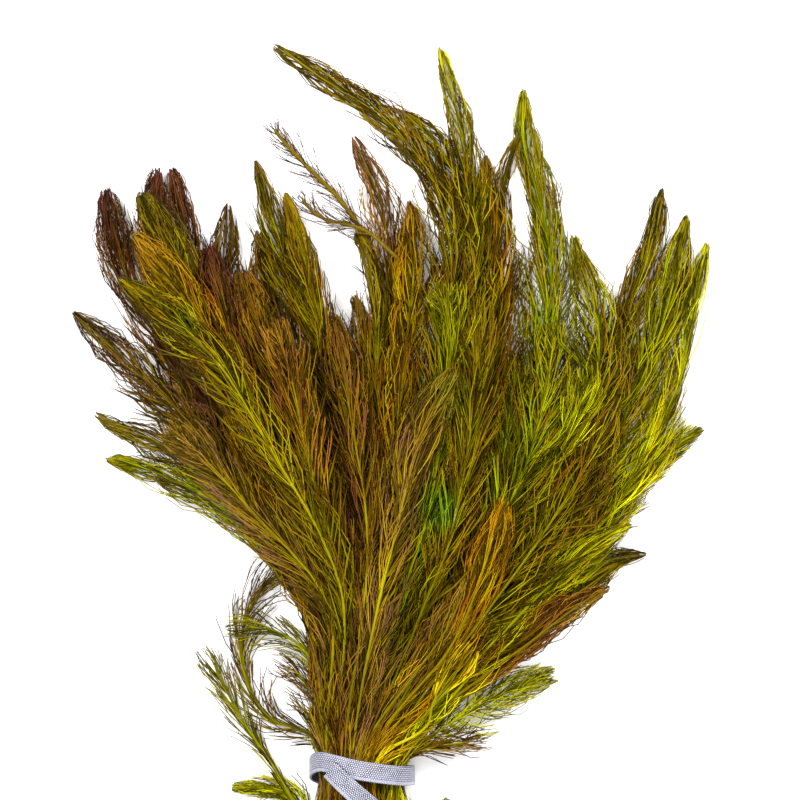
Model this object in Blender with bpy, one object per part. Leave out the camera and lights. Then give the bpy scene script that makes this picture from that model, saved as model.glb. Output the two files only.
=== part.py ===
"""A tied bunch of hornwort, lying on its side.

Each stem with its whorls of leaves is one plume: a loft of six-sided rings that opens from a
pointed tip, steps in and out where the whorls end, and narrows where the metal strip holds it.
The plumes are laid one after another, from the table up, and each rests on those already laid.
"""

import math
from collections import namedtuple

import bmesh
import bpy
import numpy as np

MM = 0.001

# Plan positions are in millimetres. X runs to the right, Y along the bunch to its tips.
# The model's origin lies on the table, under the strip where it crosses below the bunch.
ORIGIN_Y = -14.0

# Metal strip
STRIP_WIDTH = 8.0
STRIP_THICK = 1.0
STRIP_STEP = 3.4
ARCH_POINTS = 50
LAP_LIFT = 1.35

# Outer section of the strip round the bunch: flat below, round corners, a full arch above
TIE_HALF_WIDTH = 21.3
TIE_HEIGHT = 25.5
TIE_CORNER = 6.0
TIE_FULLNESS = 2.4

# Stems where the strip holds them
STEM_RADIUS = 1.55
ROW_PITCH = 3.5
SLOT_PITCH = 3.6
STRIP_FOOT = -31.0
CUT_END = -46.0
NECK_LENGTH = 20.0
LEAD_CLEAR = 48.0
LEAD_READ = 90.0
END_SPLAY = 1.45
END_RADIUS = 2.3
EXIT_MIDDLE = 6.2
EXIT_SLOPE = -0.17

# Plumes
TIER_PITCH = 50.0
TIER_TURN = math.radians(62)
TIER_SHARE = 0.68
TIER_NECK = 0.84
WIDTH_GROWTH = 0.078
DEPTH_GROWTH = 0.011
GROWTH_START = 14.0
CLEAR_REACH = 75.0
SHOOT_BASE = 1.2

# Laying
CELL = 0.5
GAP = 0.35
EDGE_SPREAD = 0.06
BEND_RADIUS = 150.0
MAX_SLOPE = 0.5
GRID_LOW = (-130.0, -60.0)
GRID_HIGH = (150.0, 300.0)

POINTED = 44.0
SLIM = 62.0
BLUNT = 16.0

COLOURS = {
    "red": (0.16, 0.045, 0.035),
    "brown": (0.17, 0.085, 0.03),
    "tan": (0.33, 0.20, 0.07),
    "orange": (0.45, 0.22, 0.03),
    "olive": (0.20, 0.17, 0.03),
    "green": (0.22, 0.30, 0.03),
    "lime": (0.40, 0.42, 0.05),
    "metal": (0.55, 0.56, 0.58),
}

# name, colour, full width, full depth, length of the opening tip, route from the tip down
Sprig = namedtuple("Sprig", "name colour width depth tip route")

# Shoots that leave the stems below the strip and lie on the table
LOWER_SHOOTS = [
    Sprig("lower_tuft_1", "lime", 10.0, 5.0, POINTED,
          [(-53, -9), (-42, -9), (-32, -11), (-25, -17), (-20.5, -27)]),
    Sprig("lower_tuft_2", "lime", 10.0, 5.0, POINTED,
          [(-49, -27), (-40, -25.5), (-31, -28), (-24, -37)]),
    Sprig("lower_tuft_3", "olive", 8.0, 4.5, POINTED,
          [(35, -13), (31, -19), (27, -27), (24, -37)]),
    Sprig("outer_shoot", "green", 9.0, 4.5, POINTED,
          [(-65, 49), (-59, 39), (-53, 27), (-47, 16), (-40, 6), (-33, -4), (-27, -14), (-22, -24)]),
]

# Stems held by the strip, in rows from the table up, in the order in which they are laid
ROWS = [
    [
        Sprig("curled_sprig", "brown", 15.0, 5.0, POINTED,
              [(-22, 84), (-31, 79), (-41, 70), (-47.5, 57), (-48.5, 43), (-44, 28), (-36, 18.5),
               (-28, 16), (-20, 17.5), (-16, 15)]),
        Sprig("left_sprig_02", "olive", 12.0, 5.0, POINTED,
              [(-108, 142), (-98, 136), (-85, 131), (-68, 121), (-50, 106), (-33, 85), (-20, 62)]),
        Sprig("left_sprig_04", "red", 15.0, 6.0, BLUNT,
              [(-103, 233), (-101, 220), (-98, 206), (-92, 191), (-82, 172), (-67, 150), (-49, 123),
               (-31, 93), (-15, 62)]),
        Sprig("left_sprig_06", "brown", 15.0, 6.0, BLUNT,
              [(-77, 241), (-74, 228), (-70, 210), (-63, 188), (-53, 163), (-42, 135), (-28, 102),
               (-10, 62)]),
        Sprig("left_sprig_10", "olive", 11.0, 5.0, BLUNT,
              [(-54, 227), (-55, 214), (-56, 199), (-52, 181), (-44, 158), (-34, 130), (-21, 98),
               (-5, 62)]),
        Sprig("middle_sprig_07", "brown", 7.0, 3.5, POINTED,
              [(-38, 260), (-31, 250), (-24, 243), (-17, 236), (-10, 229), (-4, 221), (2, 211),
               (7, 196), (9, 175), (8, 145), (6, 110), (2, 66)]),
        Sprig("middle_sprig_05", "green", 14.0, 5.0, POINTED,
              [(65, 273), (65, 260), (66, 247), (70, 232), (74, 216), (76, 198), (73, 172), (65, 140),
               (53, 107), (34, 66)]),
        Sprig("right_sprig_02", "olive", 22.0, 6.0, POINTED,
              [(121, 233), (118, 218), (114, 203), (108, 187), (101, 168), (90, 142), (76, 112),
               (58, 82), (42, 58)]),
        Sprig("right_sprig_05", "green", 15.0, 5.0, POINTED,
              [(138, 136), (127, 129), (115, 118), (104, 106), (92, 92), (76, 75), (58, 57)]),
    ],
    [
        Sprig("left_sprig_03", "lime", 15.0, 5.0, POINTED,
              [(-104, 124), (-92, 121), (-78, 116), (-62, 108), (-46, 97), (-31, 81), (-20, 61)]),
        Sprig("left_sprig_05", "red", 16.0, 6.0, BLUNT,
              [(-82, 241), (-83, 228), (-82, 211), (-76, 190), (-66, 166), (-53, 140), (-37, 108),
               (-15, 64)]),
        Sprig("left_sprig_13", "brown", 14.0, 5.0, BLUNT,
              [(-41, 216), (-39, 203), (-35, 187), (-30, 165), (-24, 140), (-18, 110), (-10, 65)]),
        Sprig("left_sprig_11", "olive", 11.0, 5.0, SLIM,
              [(-43, 244), (-40, 232), (-35, 217), (-29, 199), (-22, 178), (-15, 153), (-10, 120),
               (-5, 66)]),
        Sprig("middle_sprig_10", "brown", 7.0, 3.5, POINTED,
              [(-4, 190), (-1, 183), (1, 173), (2, 158), (2, 138), (2, 110), (1, 66)]),
        Sprig("middle_sprig_02", "olive", 11.0, 5.0, POINTED,
              [(14, 264), (22, 258), (31, 249), (38, 238), (43, 224), (46, 206), (46, 184), (42, 156),
               (36, 122), (21, 65)]),
        Sprig("middle_sprig_06", "olive", 10.0, 5.0, POINTED,
              [(63, 254), (59, 243), (56, 230), (55, 214), (54, 196), (52, 172), (49, 142),
               (43, 108), (29, 64)]),
        Sprig("right_sprig_01", "green", 11.0, 5.0, POINTED,
              [(85, 214), (88, 202), (92, 190), (95, 175), (94, 155), (87, 130), (75, 104),
               (46, 62)]),
        Sprig("right_sprig_04", "green", 12.0, 5.0, POINTED,
              [(139, 211), (136, 197), (133, 182), (130, 166), (125, 148), (115, 127), (99, 103),
               (79, 78), (56, 54)]),
        Sprig("right_sprig_06", "brown", 10.0, 4.5, SLIM,
              [(115, 85), (104, 84), (94, 81), (82, 73), (68, 61), (56, 49)]),
    ],
    [
        Sprig("low_sprig_1", "olive", 9.0, 3.5, POINTED,
              [(-57, 55), (-48, 56), (-38, 55), (-28, 51), (-20, 42), (-17, 28)]),
        Sprig("left_sprig_01", "brown", 24.0, 6.0, POINTED,
              [(-117, 183), (-107, 174), (-95, 163), (-80, 149), (-62, 130), (-43, 106), (-27, 80),
               (-18, 60)]),
        Sprig("left_sprig_07", "olive", 16.0, 5.5, BLUNT,
              [(-89, 231), (-84, 221), (-77, 208), (-68, 192), (-57, 170), (-45, 143), (-31, 110),
               (-13, 64)]),
        Sprig("left_sprig_12", "olive", 12.0, 5.0, POINTED,
              [(-31, 231), (-28, 221), (-24, 207), (-19, 188), (-14, 165), (-10, 138), (-8, 105),
               (-6, 66)]),
        Sprig("middle_sprig_08", "red", 16.0, 5.0, SLIM,
              [(-4, 254), (0, 245), (5, 234), (9, 220), (12, 203), (12, 180), (10, 150), (8, 115),
               (3, 66)]),
        Sprig("middle_sprig_03", "lime", 10.0, 5.0, POINTED,
              [(31, 290), (34, 278), (38, 264), (41, 250), (43, 235), (44, 216), (44, 192), (42, 165),
               (37, 132), (29, 98), (19, 65)]),
        Sprig("middle_sprig_04", "orange", 10.0, 5.0, POINTED,
              [(50, 246), (50, 236), (50, 222), (51, 204), (51, 180), (49, 150), (43, 115),
               (27, 66)]),
        Sprig("right_sprig_03", "green", 14.0, 5.0, POINTED,
              [(131, 222), (128, 208), (124, 192), (119, 174), (111, 152), (98, 127), (81, 100),
               (62, 74), (47, 56)]),
        Sprig("right_sprig_07", "brown", 9.0, 4.5, SLIM,
              [(104, 82), (97, 77), (88, 71), (76, 62), (58, 48)]),
        Sprig("right_sprig_09", "lime", 16.0, 5.0, POINTED,
              [(79, 37), (68, 34), (54, 28), (40, 20), (29, 13)]),
    ],
    [
        Sprig("low_sprig_2", "brown", 9.0, 3.5, POINTED,
              [(-37, 43), (-30, 40), (-23, 34), (-18, 26), (-17, 18)]),
        Sprig("left_sprig_08", "orange", 16.0, 5.5, POINTED,
              [(-92, 214), (-84, 205), (-75, 194), (-65, 179), (-55, 158), (-44, 132), (-32, 102),
               (-16, 64)]),
        Sprig("left_sprig_14", "red", 13.0, 5.0, BLUNT,
              [(-62, 210), (-59, 198), (-54, 181), (-47, 160), (-37, 134), (-26, 104), (-11, 65)]),
        Sprig("left_sprig_15", "brown", 15.0, 5.0, BLUNT,
              [(-49, 200), (-44, 186), (-37, 167), (-29, 143), (-21, 115), (-14, 90), (-6, 66)]),
        Sprig("middle_sprig_09", "olive", 8.0, 4.0, SLIM,
              [(-3, 216), (1, 204), (4, 190), (6, 172), (6, 148), (5, 118), (1, 66)]),
        Sprig("middle_sprig_01", "olive", 13.0, 5.0, SLIM,
              [(-36, 290), (-25, 283), (-12, 274), (0, 267), (11, 258), (21, 247), (29, 234),
               (34, 218), (36, 198), (34, 172), (30, 142), (25, 108), (14, 66)]),
        Sprig("middle_sprig_11", "lime", 15.0, 5.0, POINTED,
              [(62, 168), (61, 152), (59, 134), (53, 110), (43, 84), (33, 62)]),
        Sprig("right_sprig_10", "green", 15.0, 5.0, POINTED,
              [(92, 160), (87, 145), (80, 128), (70, 107), (56, 83), (44, 62)]),
        Sprig("right_sprig_08", "orange", 13.0, 5.0, POINTED,
              [(100, 72), (89, 67), (77, 58), (64, 48), (50, 38)]),
        Sprig("right_sprig_14", "orange", 9.0, 4.0, POINTED,
              [(53, 11), (43, 10), (33, 9), (25, 8)]),
    ],
    [
        Sprig("left_sprig_16", "orange", 13.0, 5.0, POINTED,
              [(-80, 137), (-66, 127), (-52, 112), (-40, 99), (-32, 91), (-24, 82), (-17, 73),
               (-12, 62)]),
        Sprig("left_sprig_09", "green", 22.0, 6.0, POINTED,
              [(-98, 196), (-88, 188), (-77, 180), (-65, 170), (-54, 158), (-46, 146), (-38, 131),
               (-29, 116), (-20, 101), (-12, 83), (-7, 63)]),
        Sprig("left_sprig_17", "red", 14.0, 5.0, BLUNT,
              [(-36, 180), (-31, 166), (-27, 152), (-24, 138), (-21, 122), (-15, 104), (-8, 84),
               (-2, 64)]),
        Sprig("middle_sprig_12", "brown", 13.0, 5.0, POINTED,
              [(19, 228), (21, 216), (21, 200), (19, 180), (16, 155), (13, 125), (9, 92), (5, 66)]),
        Sprig("middle_sprig_13", "green", 14.0, 5.0, POINTED,
              [(33, 196), (35, 180), (34, 160), (32, 138), (29, 115), (23, 90), (14, 64)]),
        Sprig("middle_sprig_14", "lime", 14.0, 5.0, POINTED,
              [(46, 190), (46, 172), (45, 152), (43, 132), (39, 110), (34, 88), (24, 63)]),
        Sprig("right_sprig_11", "lime", 14.0, 5.0, POINTED,
              [(76, 180), (76, 164), (73, 146), (67, 125), (58, 104), (47, 84), (36, 64)]),
        Sprig("right_sprig_12", "green", 15.0, 5.0, POINTED,
              [(104, 150), (97, 136), (88, 118), (76, 99), (62, 79), (48, 60)]),
        Sprig("right_sprig_13", "green", 11.0, 4.5, POINTED,
              [(109, 97), (99, 93), (88, 85), (75, 73), (60, 58)]),
    ],
    [
        Sprig("front_sprig_1", "brown", 12.0, 5.0, POINTED,
              [(-12, 182), (-9, 168), (-6, 150), (-3, 132), (0, 114), (2, 95), (1, 66)]),
        Sprig("front_sprig_2", "tan", 12.0, 5.0, POINTED,
              [(37, 160), (30, 148), (24, 135), (19, 118), (15, 100), (11, 84), (7, 68)]),
        Sprig("front_sprig_4", "tan", 10.0, 4.5, POINTED,
              [(42, 77), (38, 64), (30, 50), (19, 35)]),
        Sprig("front_sprig_3", "orange", 12.0, 5.0, POINTED,
              [(57, 109), (54, 98), (51, 88), (47, 75), (42, 62), (36, 49)]),
        Sprig("front_sprig_5", "lime", 13.0, 4.5, POINTED,
              [(45, 52), (38, 42), (32, 33), (28, 25), (26, 17)]),
    ],
]

# The side branch that forks off the middle of the bunch
UPPER_SHOOTS = [
    Sprig("side_shoot", "olive", 8.0, 3.5, POINTED,
          [(-27, 232), (-20, 223), (-14, 219.5), (-6, 218), (2, 215), (9, 209)]),
]
UPPER_SHOOTS_AFTER_ROW = 3

# The strip's centre line: the side of the bunch it is on, its place across on the top and
# underneath or its height on the right and the left, and its place along the bunch
STRIP_ROUTE = [
    ("top", -12.4, -0.4), ("top", 0.0, -12.0), ("top", 12.0, -21.0), ("right", 15.0, -25.2),
    ("right", 6.0, -26.0), ("under", 11.0, -21.5), ("under", 0.0, -14.0), ("under", -11.0, -6.0),
    ("left", 6.0, -1.0), ("left", 15.0, 1.6), ("top", -16.5, 2.6), ("top", 0.0, -0.8),
    ("top", 16.0, -3.0), ("right", 12.0, -3.2), ("right", 4.0, -3.6), ("under", 5.0, -4.0),
]

# A ring's six corners, as shares of its half width and half depth
CORNERS = [(1.0, 0.0), (0.5, 1.0), (-0.5, 1.0), (-1.0, 0.0), (-0.5, -1.0), (0.5, -1.0)]
UPPER_SIDES = (0, 1, 2)
LOWER_SIDES = (3, 4, 5)


def smooth_route(points, step):
    """Points about one step apart on a centripetal Catmull-Rom curve through the given ones."""
    given = np.array(points, dtype=float)
    padded = np.vstack([2 * given[0] - given[1], given, 2 * given[-1] - given[-2]])
    curve = []
    for before, start, end, after in zip(padded[:-3], padded[1:-2], padded[2:-1], padded[3:]):
        t0 = 0.0
        t1 = t0 + math.sqrt(np.linalg.norm(start - before))
        t2 = t1 + math.sqrt(np.linalg.norm(end - start))
        t3 = t2 + math.sqrt(np.linalg.norm(after - end))
        count = max(2, int(round(np.linalg.norm(end - start) / step)))
        for t in np.linspace(t1, t2, count, endpoint=False):
            a1 = before * (t1 - t) / (t1 - t0) + start * (t - t0) / (t1 - t0)
            a2 = start * (t2 - t) / (t2 - t1) + end * (t - t1) / (t2 - t1)
            a3 = end * (t3 - t) / (t3 - t2) + after * (t - t2) / (t3 - t2)
            b1 = a1 * (t2 - t) / (t2 - t0) + a2 * (t - t0) / (t2 - t0)
            b2 = a2 * (t3 - t) / (t3 - t1) + a3 * (t - t1) / (t3 - t1)
            curve.append(b1 * (t2 - t) / (t2 - t1) + b2 * (t - t1) / (t2 - t1))
    curve.append(given[-1])
    curve = np.array(curve)
    lengths = np.concatenate([[0.0], np.cumsum(np.linalg.norm(np.diff(curve, axis=0), axis=1))])
    return curve, lengths


def place_on(curve, lengths, along):
    """Position on a route at a length along it, and the direction it runs there."""
    position = np.array([np.interp(along, lengths, curve[:, axis]) for axis in range(2)])
    ahead = min(along + 1.0, lengths[-1])
    behind = max(along - 1.0, 0.0)
    run = [np.interp(ahead, lengths, curve[:, axis]) - np.interp(behind, lengths, curve[:, axis])
           for axis in range(2)]
    return position, np.array(run) / np.linalg.norm(run)


def turning(curve):
    """The sum of a route's bends to either side, in radians."""
    steps = np.diff(curve, axis=0)
    angles = np.unwrap(np.arctan2(steps[:, 1], steps[:, 0]))
    return np.abs(np.diff(angles)).sum()


def exit_level(slot_x):
    """Where the stems leave the strip's slanting upper edge."""
    return EXIT_MIDDLE + EXIT_SLOPE * slot_x


def slots_of(row):
    """The row's stems from left to right by where they lead, each with its place in the strip."""
    def lead(sprig):
        curve, lengths = smooth_route(sprig.route + [(0.0, EXIT_MIDDLE)], 2.0)
        position, _ = place_on(curve, lengths, max(lengths[-1] - LEAD_READ, 0.0))
        return math.atan2(position[0], position[1])

    middle = (len(row) - 1) / 2.0
    return [(sprig, (place - middle) * SLOT_PITCH)
            for place, sprig in enumerate(sorted(row, key=lead))]


def held_route(sprig, slot_x):
    """A held stem's centre line in plan, and its length from the tip to the strip."""
    leave = (slot_x, exit_level(slot_x))
    route = list(sprig.route)
    if math.dist(route[0], leave) > 2 * LEAD_CLEAR:
        route = [point for point in route if math.dist(point, leave) > LEAD_CLEAR]
    curve, lengths = smooth_route(route + [leave, (slot_x, STRIP_FOOT)], 1.0)
    return curve, lengths, lengths[np.argmin(np.linalg.norm(curve - np.array(leave), axis=1))]


Ring = namedtuple("Ring", "position direction half_width half_depth held_at")


def plume_rings(sprig, slot_x=None, slot_z=None, beside=()):
    """The rings of a plume from its tip down. A stem in the strip ends in a cut stub, and near
    the strip it leaves room for the centre lines beside it in its row."""
    held = slot_x is not None
    if held:
        curve, lengths, total = held_route(sprig, slot_x)
    else:
        curve, lengths = smooth_route(sprig.route, 1.0)
        total = lengths[-1]
    neck = NECK_LENGTH if held else 0.0
    base = STEM_RADIUS if held else SHOOT_BASE
    tip = min(sprig.tip, 0.45 * total)

    body = total - neck - tip
    tiers = max(1, int(round(body / TIER_PITCH + turning(curve) / TIER_TURN)))
    stations = [(0.14 * tip, 1.0), (0.5 * tip, 1.0), (tip, 1.0)]
    for tier in range(tiers):
        start = tip + body * tier / tiers
        stations.append((start + (1 - TIER_SHARE) * body / tiers, TIER_NECK))
        stations.append((start + body / tiers, 1.0))

    rings = []
    for along, share in stations:
        opening = 1.0 - (1.0 - min(along / tip, 1.0)) ** 1.7
        if sprig.tip == BLUNT:
            opening = math.sqrt(opening)
        left = max(total - neck - along, 0.0)
        grown = left * left / (left + GROWTH_START)
        half_width = share * min(0.5 * sprig.width * opening, base + WIDTH_GROWTH * grown)
        half_depth = share * min(0.5 * sprig.depth * opening, base + DEPTH_GROWTH * grown)
        position, direction = place_on(curve, lengths, along)
        if left < CLEAR_REACH:
            for other in beside:
                room = np.linalg.norm(other - position, axis=1).min()
                half_width = max(min(half_width, 0.5 * room - GAP), base)
        rings.append(Ring(position, direction, half_width, half_depth, None))
    if held:
        leave = exit_level(slot_x)
        position, direction = place_on(curve, lengths, total - neck)
        rings[-1] = Ring(position, direction, base, base, slot_z)
        down = np.array([0.0, -1.0])
        rings.append(Ring(np.array([slot_x, leave]), down, base, base, slot_z))
        rings.append(Ring(np.array([slot_x, STRIP_FOOT]), down, base, base, slot_z))
        end = np.array([slot_x * END_SPLAY, CUT_END])
        rings.append(Ring(end, down, END_RADIUS, END_RADIUS, None))
    return curve[0], rings


def plume_corners(tip, rings):
    """Plan positions of a plume's corners, their heights above their ring and their ring."""
    plan = [tip]
    rise = [0.0]
    level = [0]
    for number, ring in enumerate(rings, start=1):
        side = np.array([-ring.direction[1], ring.direction[0]])
        for across, up in CORNERS:
            plan.append(ring.position + side * across * ring.half_width)
            rise.append(up * ring.half_depth)
            level.append(number)
    return np.array(plan), np.array(rise), np.array(level)


def plume_faces(ring_count):
    """Triangles of a plume, each with the number of the side it lies on, -1 on the cut end."""
    def corner(ring, place):
        return 1 + ring * len(CORNERS) + place % len(CORNERS)

    faces = []
    for side in range(len(CORNERS)):
        faces.append(((0, corner(0, side), corner(0, side + 1)), side))
    for ring in range(ring_count - 1):
        for side in range(len(CORNERS)):
            near, far = corner(ring, side), corner(ring + 1, side)
            near_next, far_next = corner(ring, side + 1), corner(ring + 1, side + 1)
            faces.append(((near, far, near_next), side))
            faces.append(((near_next, far, far_next), side))
    last = ring_count - 1
    for place in range(1, len(CORNERS) - 1):
        faces.append(((corner(last, 0), corner(last, place + 1), corner(last, place)), -1))
    return faces


class Heap:
    """The height of what has been laid so far, on a grid of square cells."""

    def __init__(self):
        size = [int((high - low) / CELL) for low, high in zip(GRID_LOW, GRID_HIGH)]
        self.height = np.full(size, -GAP)

    def cells(self, triangle):
        """Cells whose middles lie in a plan triangle or just outside it, with their weights for
        its corners."""
        a, b, c = triangle
        turn = (b[0] - a[0]) * (c[1] - a[1]) - (b[1] - a[1]) * (c[0] - a[0])
        if abs(turn) < 1e-6:
            return None
        low = [int((min(a[i], b[i], c[i]) - GRID_LOW[i]) / CELL) for i in range(2)]
        high = [int((max(a[i], b[i], c[i]) - GRID_LOW[i]) / CELL) + 2 for i in range(2)]
        columns = np.arange(low[0], high[0])
        lines = np.arange(low[1], high[1])
        x = (GRID_LOW[0] + (columns + 0.5) * CELL)[:, None]
        y = (GRID_LOW[1] + (lines + 0.5) * CELL)[None, :]
        second = ((x - a[0]) * (c[1] - a[1]) - (y - a[1]) * (c[0] - a[0])) / turn
        third = ((b[0] - a[0]) * (y - a[1]) - (b[1] - a[1]) * (x - a[0])) / turn
        first = 1.0 - second - third
        inside = (first >= -EDGE_SPREAD) & (second >= -EDGE_SPREAD) & (third >= -EDGE_SPREAD)
        if not inside.any():
            return None
        column, line = np.nonzero(inside)
        weights = np.stack([first[inside], second[inside], third[inside]], axis=1)
        return column + low[0], line + low[1], weights

    def spread_height(self):
        """The height grown by one cell all round, so that steep sides keep clear."""
        grown = self.height.copy()
        for axis in (0, 1):
            ahead = np.roll(grown, 1, axis)
            behind = np.roll(grown, -1, axis)
            grown = np.maximum(grown, np.maximum(ahead, behind))
        return grown

    def add(self, plan, heights, faces, sides):
        """Raise the heap by the faces of a plume that lie on the given sides."""
        for corners, side in faces:
            if side not in sides:
                continue
            found = self.cells(plan[list(corners)])
            if found is None:
                continue
            column, line, weights = found
            level = weights @ heights[list(corners)]
            self.height[column, line] = np.maximum(self.height[column, line], level)


def needed_heights(heap, plan, rise, level, faces):
    """For each cell under a plume: the lower ring of its face, its share of the next one, and
    the height that the face needs there."""
    ground = heap.spread_height()
    rings, shares, needs = [], [], []
    for corners, side in faces:
        if side not in LOWER_SIDES:
            continue
        corners = list(corners)
        found = heap.cells(plan[corners])
        if found is None:
            continue
        column, line, weights = found
        first = level[corners].min()
        rings.append(np.full(len(column), first))
        shares.append(weights @ (level[corners] - first))
        needs.append(ground[column, line] + GAP - weights @ rise[corners])
    return np.concatenate(rings), np.concatenate(shares), np.concatenate(needs)


def settle(heap, tip, rings, plan, rise, level, faces):
    """The height of the tip and of each ring of a plume laid on the heap."""
    ring, share, need = needed_heights(heap, plan, rise, level, faces)
    free = np.array([True] + [item.held_at is None for item in rings])
    heights = np.array([0.0] + [item.held_at or 0.0 for item in rings])
    places = np.array([tip] + [item.position for item in rings])
    spacing = np.linalg.norm(np.diff(places, axis=0), axis=1)
    under = [np.nonzero(ring == first)[0] for first in range(len(heights) - 1)]
    for first, cells in enumerate(under):
        if not free[first]:
            cells = cells[share[cells] > 0.4]
        if not free[first + 1]:
            cells = cells[share[cells] < 0.6]
        under[first] = cells if free[first] or free[first + 1] else cells[:0]
    for _ in range(400):
        moved = 0.0
        for first, cells in enumerate(under):
            if not len(cells):
                continue
            line = (1 - share[cells]) * heights[first] + share[cells] * heights[first + 1]
            lack = need[cells] - line
            worst = np.argmax(lack)
            if lack[worst] <= 0.005:
                continue
            far = share[cells[worst]]
            near = 1.0 - far
            pull = (near * free[first]) ** 2 + (far * free[first + 1]) ** 2
            if free[first]:
                heights[first] += lack[worst] * near / pull
            if free[first + 1]:
                heights[first + 1] += lack[worst] * far / pull
            moved = max(moved, lack[worst])
        for place in range(1, len(heights) - 1):
            before, after = spacing[place - 1], spacing[place]
            chord = (heights[place - 1] * after + heights[place + 1] * before) / (before + after)
            sag = before * after / (2.0 * BEND_RADIUS)
            if free[place] and heights[place] < chord - sag - 0.01:
                moved = max(moved, chord - sag - heights[place])
                heights[place] = chord - sag
        for place in range(len(heights) - 1):
            drop = MAX_SLOPE * spacing[place]
            if free[place] and heights[place] < heights[place + 1] - drop - 0.01:
                heights[place] = heights[place + 1] - drop
                moved = 1.0
            if free[place + 1] and heights[place + 1] < heights[place] - drop - 0.01:
                heights[place + 1] = heights[place] - drop
                moved = 1.0
        if moved < 0.01:
            break
    return heights


def make_material(name, colour, roughness, metallic):
    material = bpy.data.materials.new(name)
    material.use_nodes = True
    shader = material.node_tree.nodes["Principled BSDF"]
    shader.inputs["Base Color"].default_value = (*colour, 1.0)
    shader.inputs["Roughness"].default_value = roughness
    shader.inputs["Metallic"].default_value = metallic
    material.diffuse_color = (*colour, 1.0)
    return material


def make_object(name, points, faces, material, collection):
    """One closed mesh from points in plan millimetres."""
    shape = bmesh.new()
    corners = [shape.verts.new((x * MM, (y - ORIGIN_Y) * MM, z * MM)) for x, y, z in points]
    for face in faces:
        shape.faces.new([corners[place] for place in face])
    bmesh.ops.recalc_face_normals(shape, faces=shape.faces[:])
    mesh = bpy.data.meshes.new(name)
    shape.to_mesh(mesh)
    shape.free()
    mesh.shade_smooth()
    mesh.set_sharp_from_angle(angle=math.radians(50))
    mesh.materials.append(material)
    item = bpy.data.objects.new(name, mesh)
    collection.objects.link(item)
    return item


def lay_plume(heap, sprig, collection, slot_x=None, slot_z=None, beside=()):
    """Lay one stem with its leaves on the heap."""
    tip, rings = plume_rings(sprig, slot_x, slot_z, beside)
    plan, rise, level = plume_corners(tip, rings)
    faces = plume_faces(len(rings))
    heights = settle(heap, tip, rings, plan, rise, level, faces)[level] + rise
    heap.add(plan, heights, faces, UPPER_SIDES)
    points = np.column_stack([plan, heights])
    material = make_material(sprig.name, COLOURS[sprig.colour], 0.5, 0.0)
    return make_object(sprig.name, points, [face for face, _ in faces], material, collection)


def lay_row(heap, number, collection):
    """Lay a row of held stems: every second one first, then those between them."""
    row = slots_of(ROWS[number])
    lines = [held_route(sprig, slot_x)[0] for sprig, slot_x in row]
    slot_z = STRIP_THICK + GAP + STEM_RADIUS + number * ROW_PITCH
    order = list(range(0, len(row), 2)) + list(range(1, len(row), 2))
    for place in order:
        sprig, slot_x = row[place]
        beside = [lines[other] for other in (place - 1, place + 1) if 0 <= other < len(row)]
        lay_plume(heap, sprig, collection, slot_x, slot_z, beside)


def tie_section():
    """The strip's outer section as points, clockwise from the top middle, with their normals,
    and the length round it at each point."""
    crown = TIE_HEIGHT - TIE_CORNER
    flat = TIE_HALF_WIDTH - TIE_CORNER
    right = []
    for angle in np.linspace(0.0, math.pi / 2, ARCH_POINTS, endpoint=False):
        across = math.sin(angle) ** (2 / TIE_FULLNESS)
        up = math.cos(angle) ** (2 / TIE_FULLNESS)
        normal = np.array([across ** (TIE_FULLNESS - 1) / TIE_HALF_WIDTH,
                           up ** (TIE_FULLNESS - 1) / crown])
        normal /= np.linalg.norm(normal)
        right.append((TIE_HALF_WIDTH * across, TIE_CORNER + crown * up, *normal))
    for angle in np.linspace(0.0, math.pi / 2, ARCH_POINTS):
        across, down = math.cos(angle), math.sin(angle)
        right.append((flat + TIE_CORNER * across, TIE_CORNER - TIE_CORNER * down, across, -down))
    left = [(-x, z, -nx, nz) for x, z, nx, nz in reversed(right)]
    outline = np.array(right + left)
    steps = np.linalg.norm(np.diff(outline[:, :2], axis=0), axis=1)
    return outline, np.concatenate([[0.0], np.cumsum(steps)])


def strip_line(outline, lengths):
    """The strip's centre line as lengths round the section and places along the bunch."""
    half = 2 * ARCH_POINTS
    line = []
    for side, value, level in STRIP_ROUTE:
        if side == "top" and value >= 0.0:
            length = np.interp(value, outline[:ARCH_POINTS, 0], lengths[:ARCH_POINTS])
        elif side == "top":
            length = np.interp(value, outline[-ARCH_POINTS:, 0], lengths[-ARCH_POINTS:])
        elif side == "right":
            length = np.interp(-value, -outline[:half, 1], lengths[:half])
        elif side == "left":
            length = np.interp(value, outline[half:, 1], lengths[half:])
        else:
            length = lengths[-1] / 2 - value
        if not line:
            length -= lengths[-1]
        while line and length < line[-1][0]:
            length += lengths[-1]
        line.append((length, level))
    return line


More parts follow.
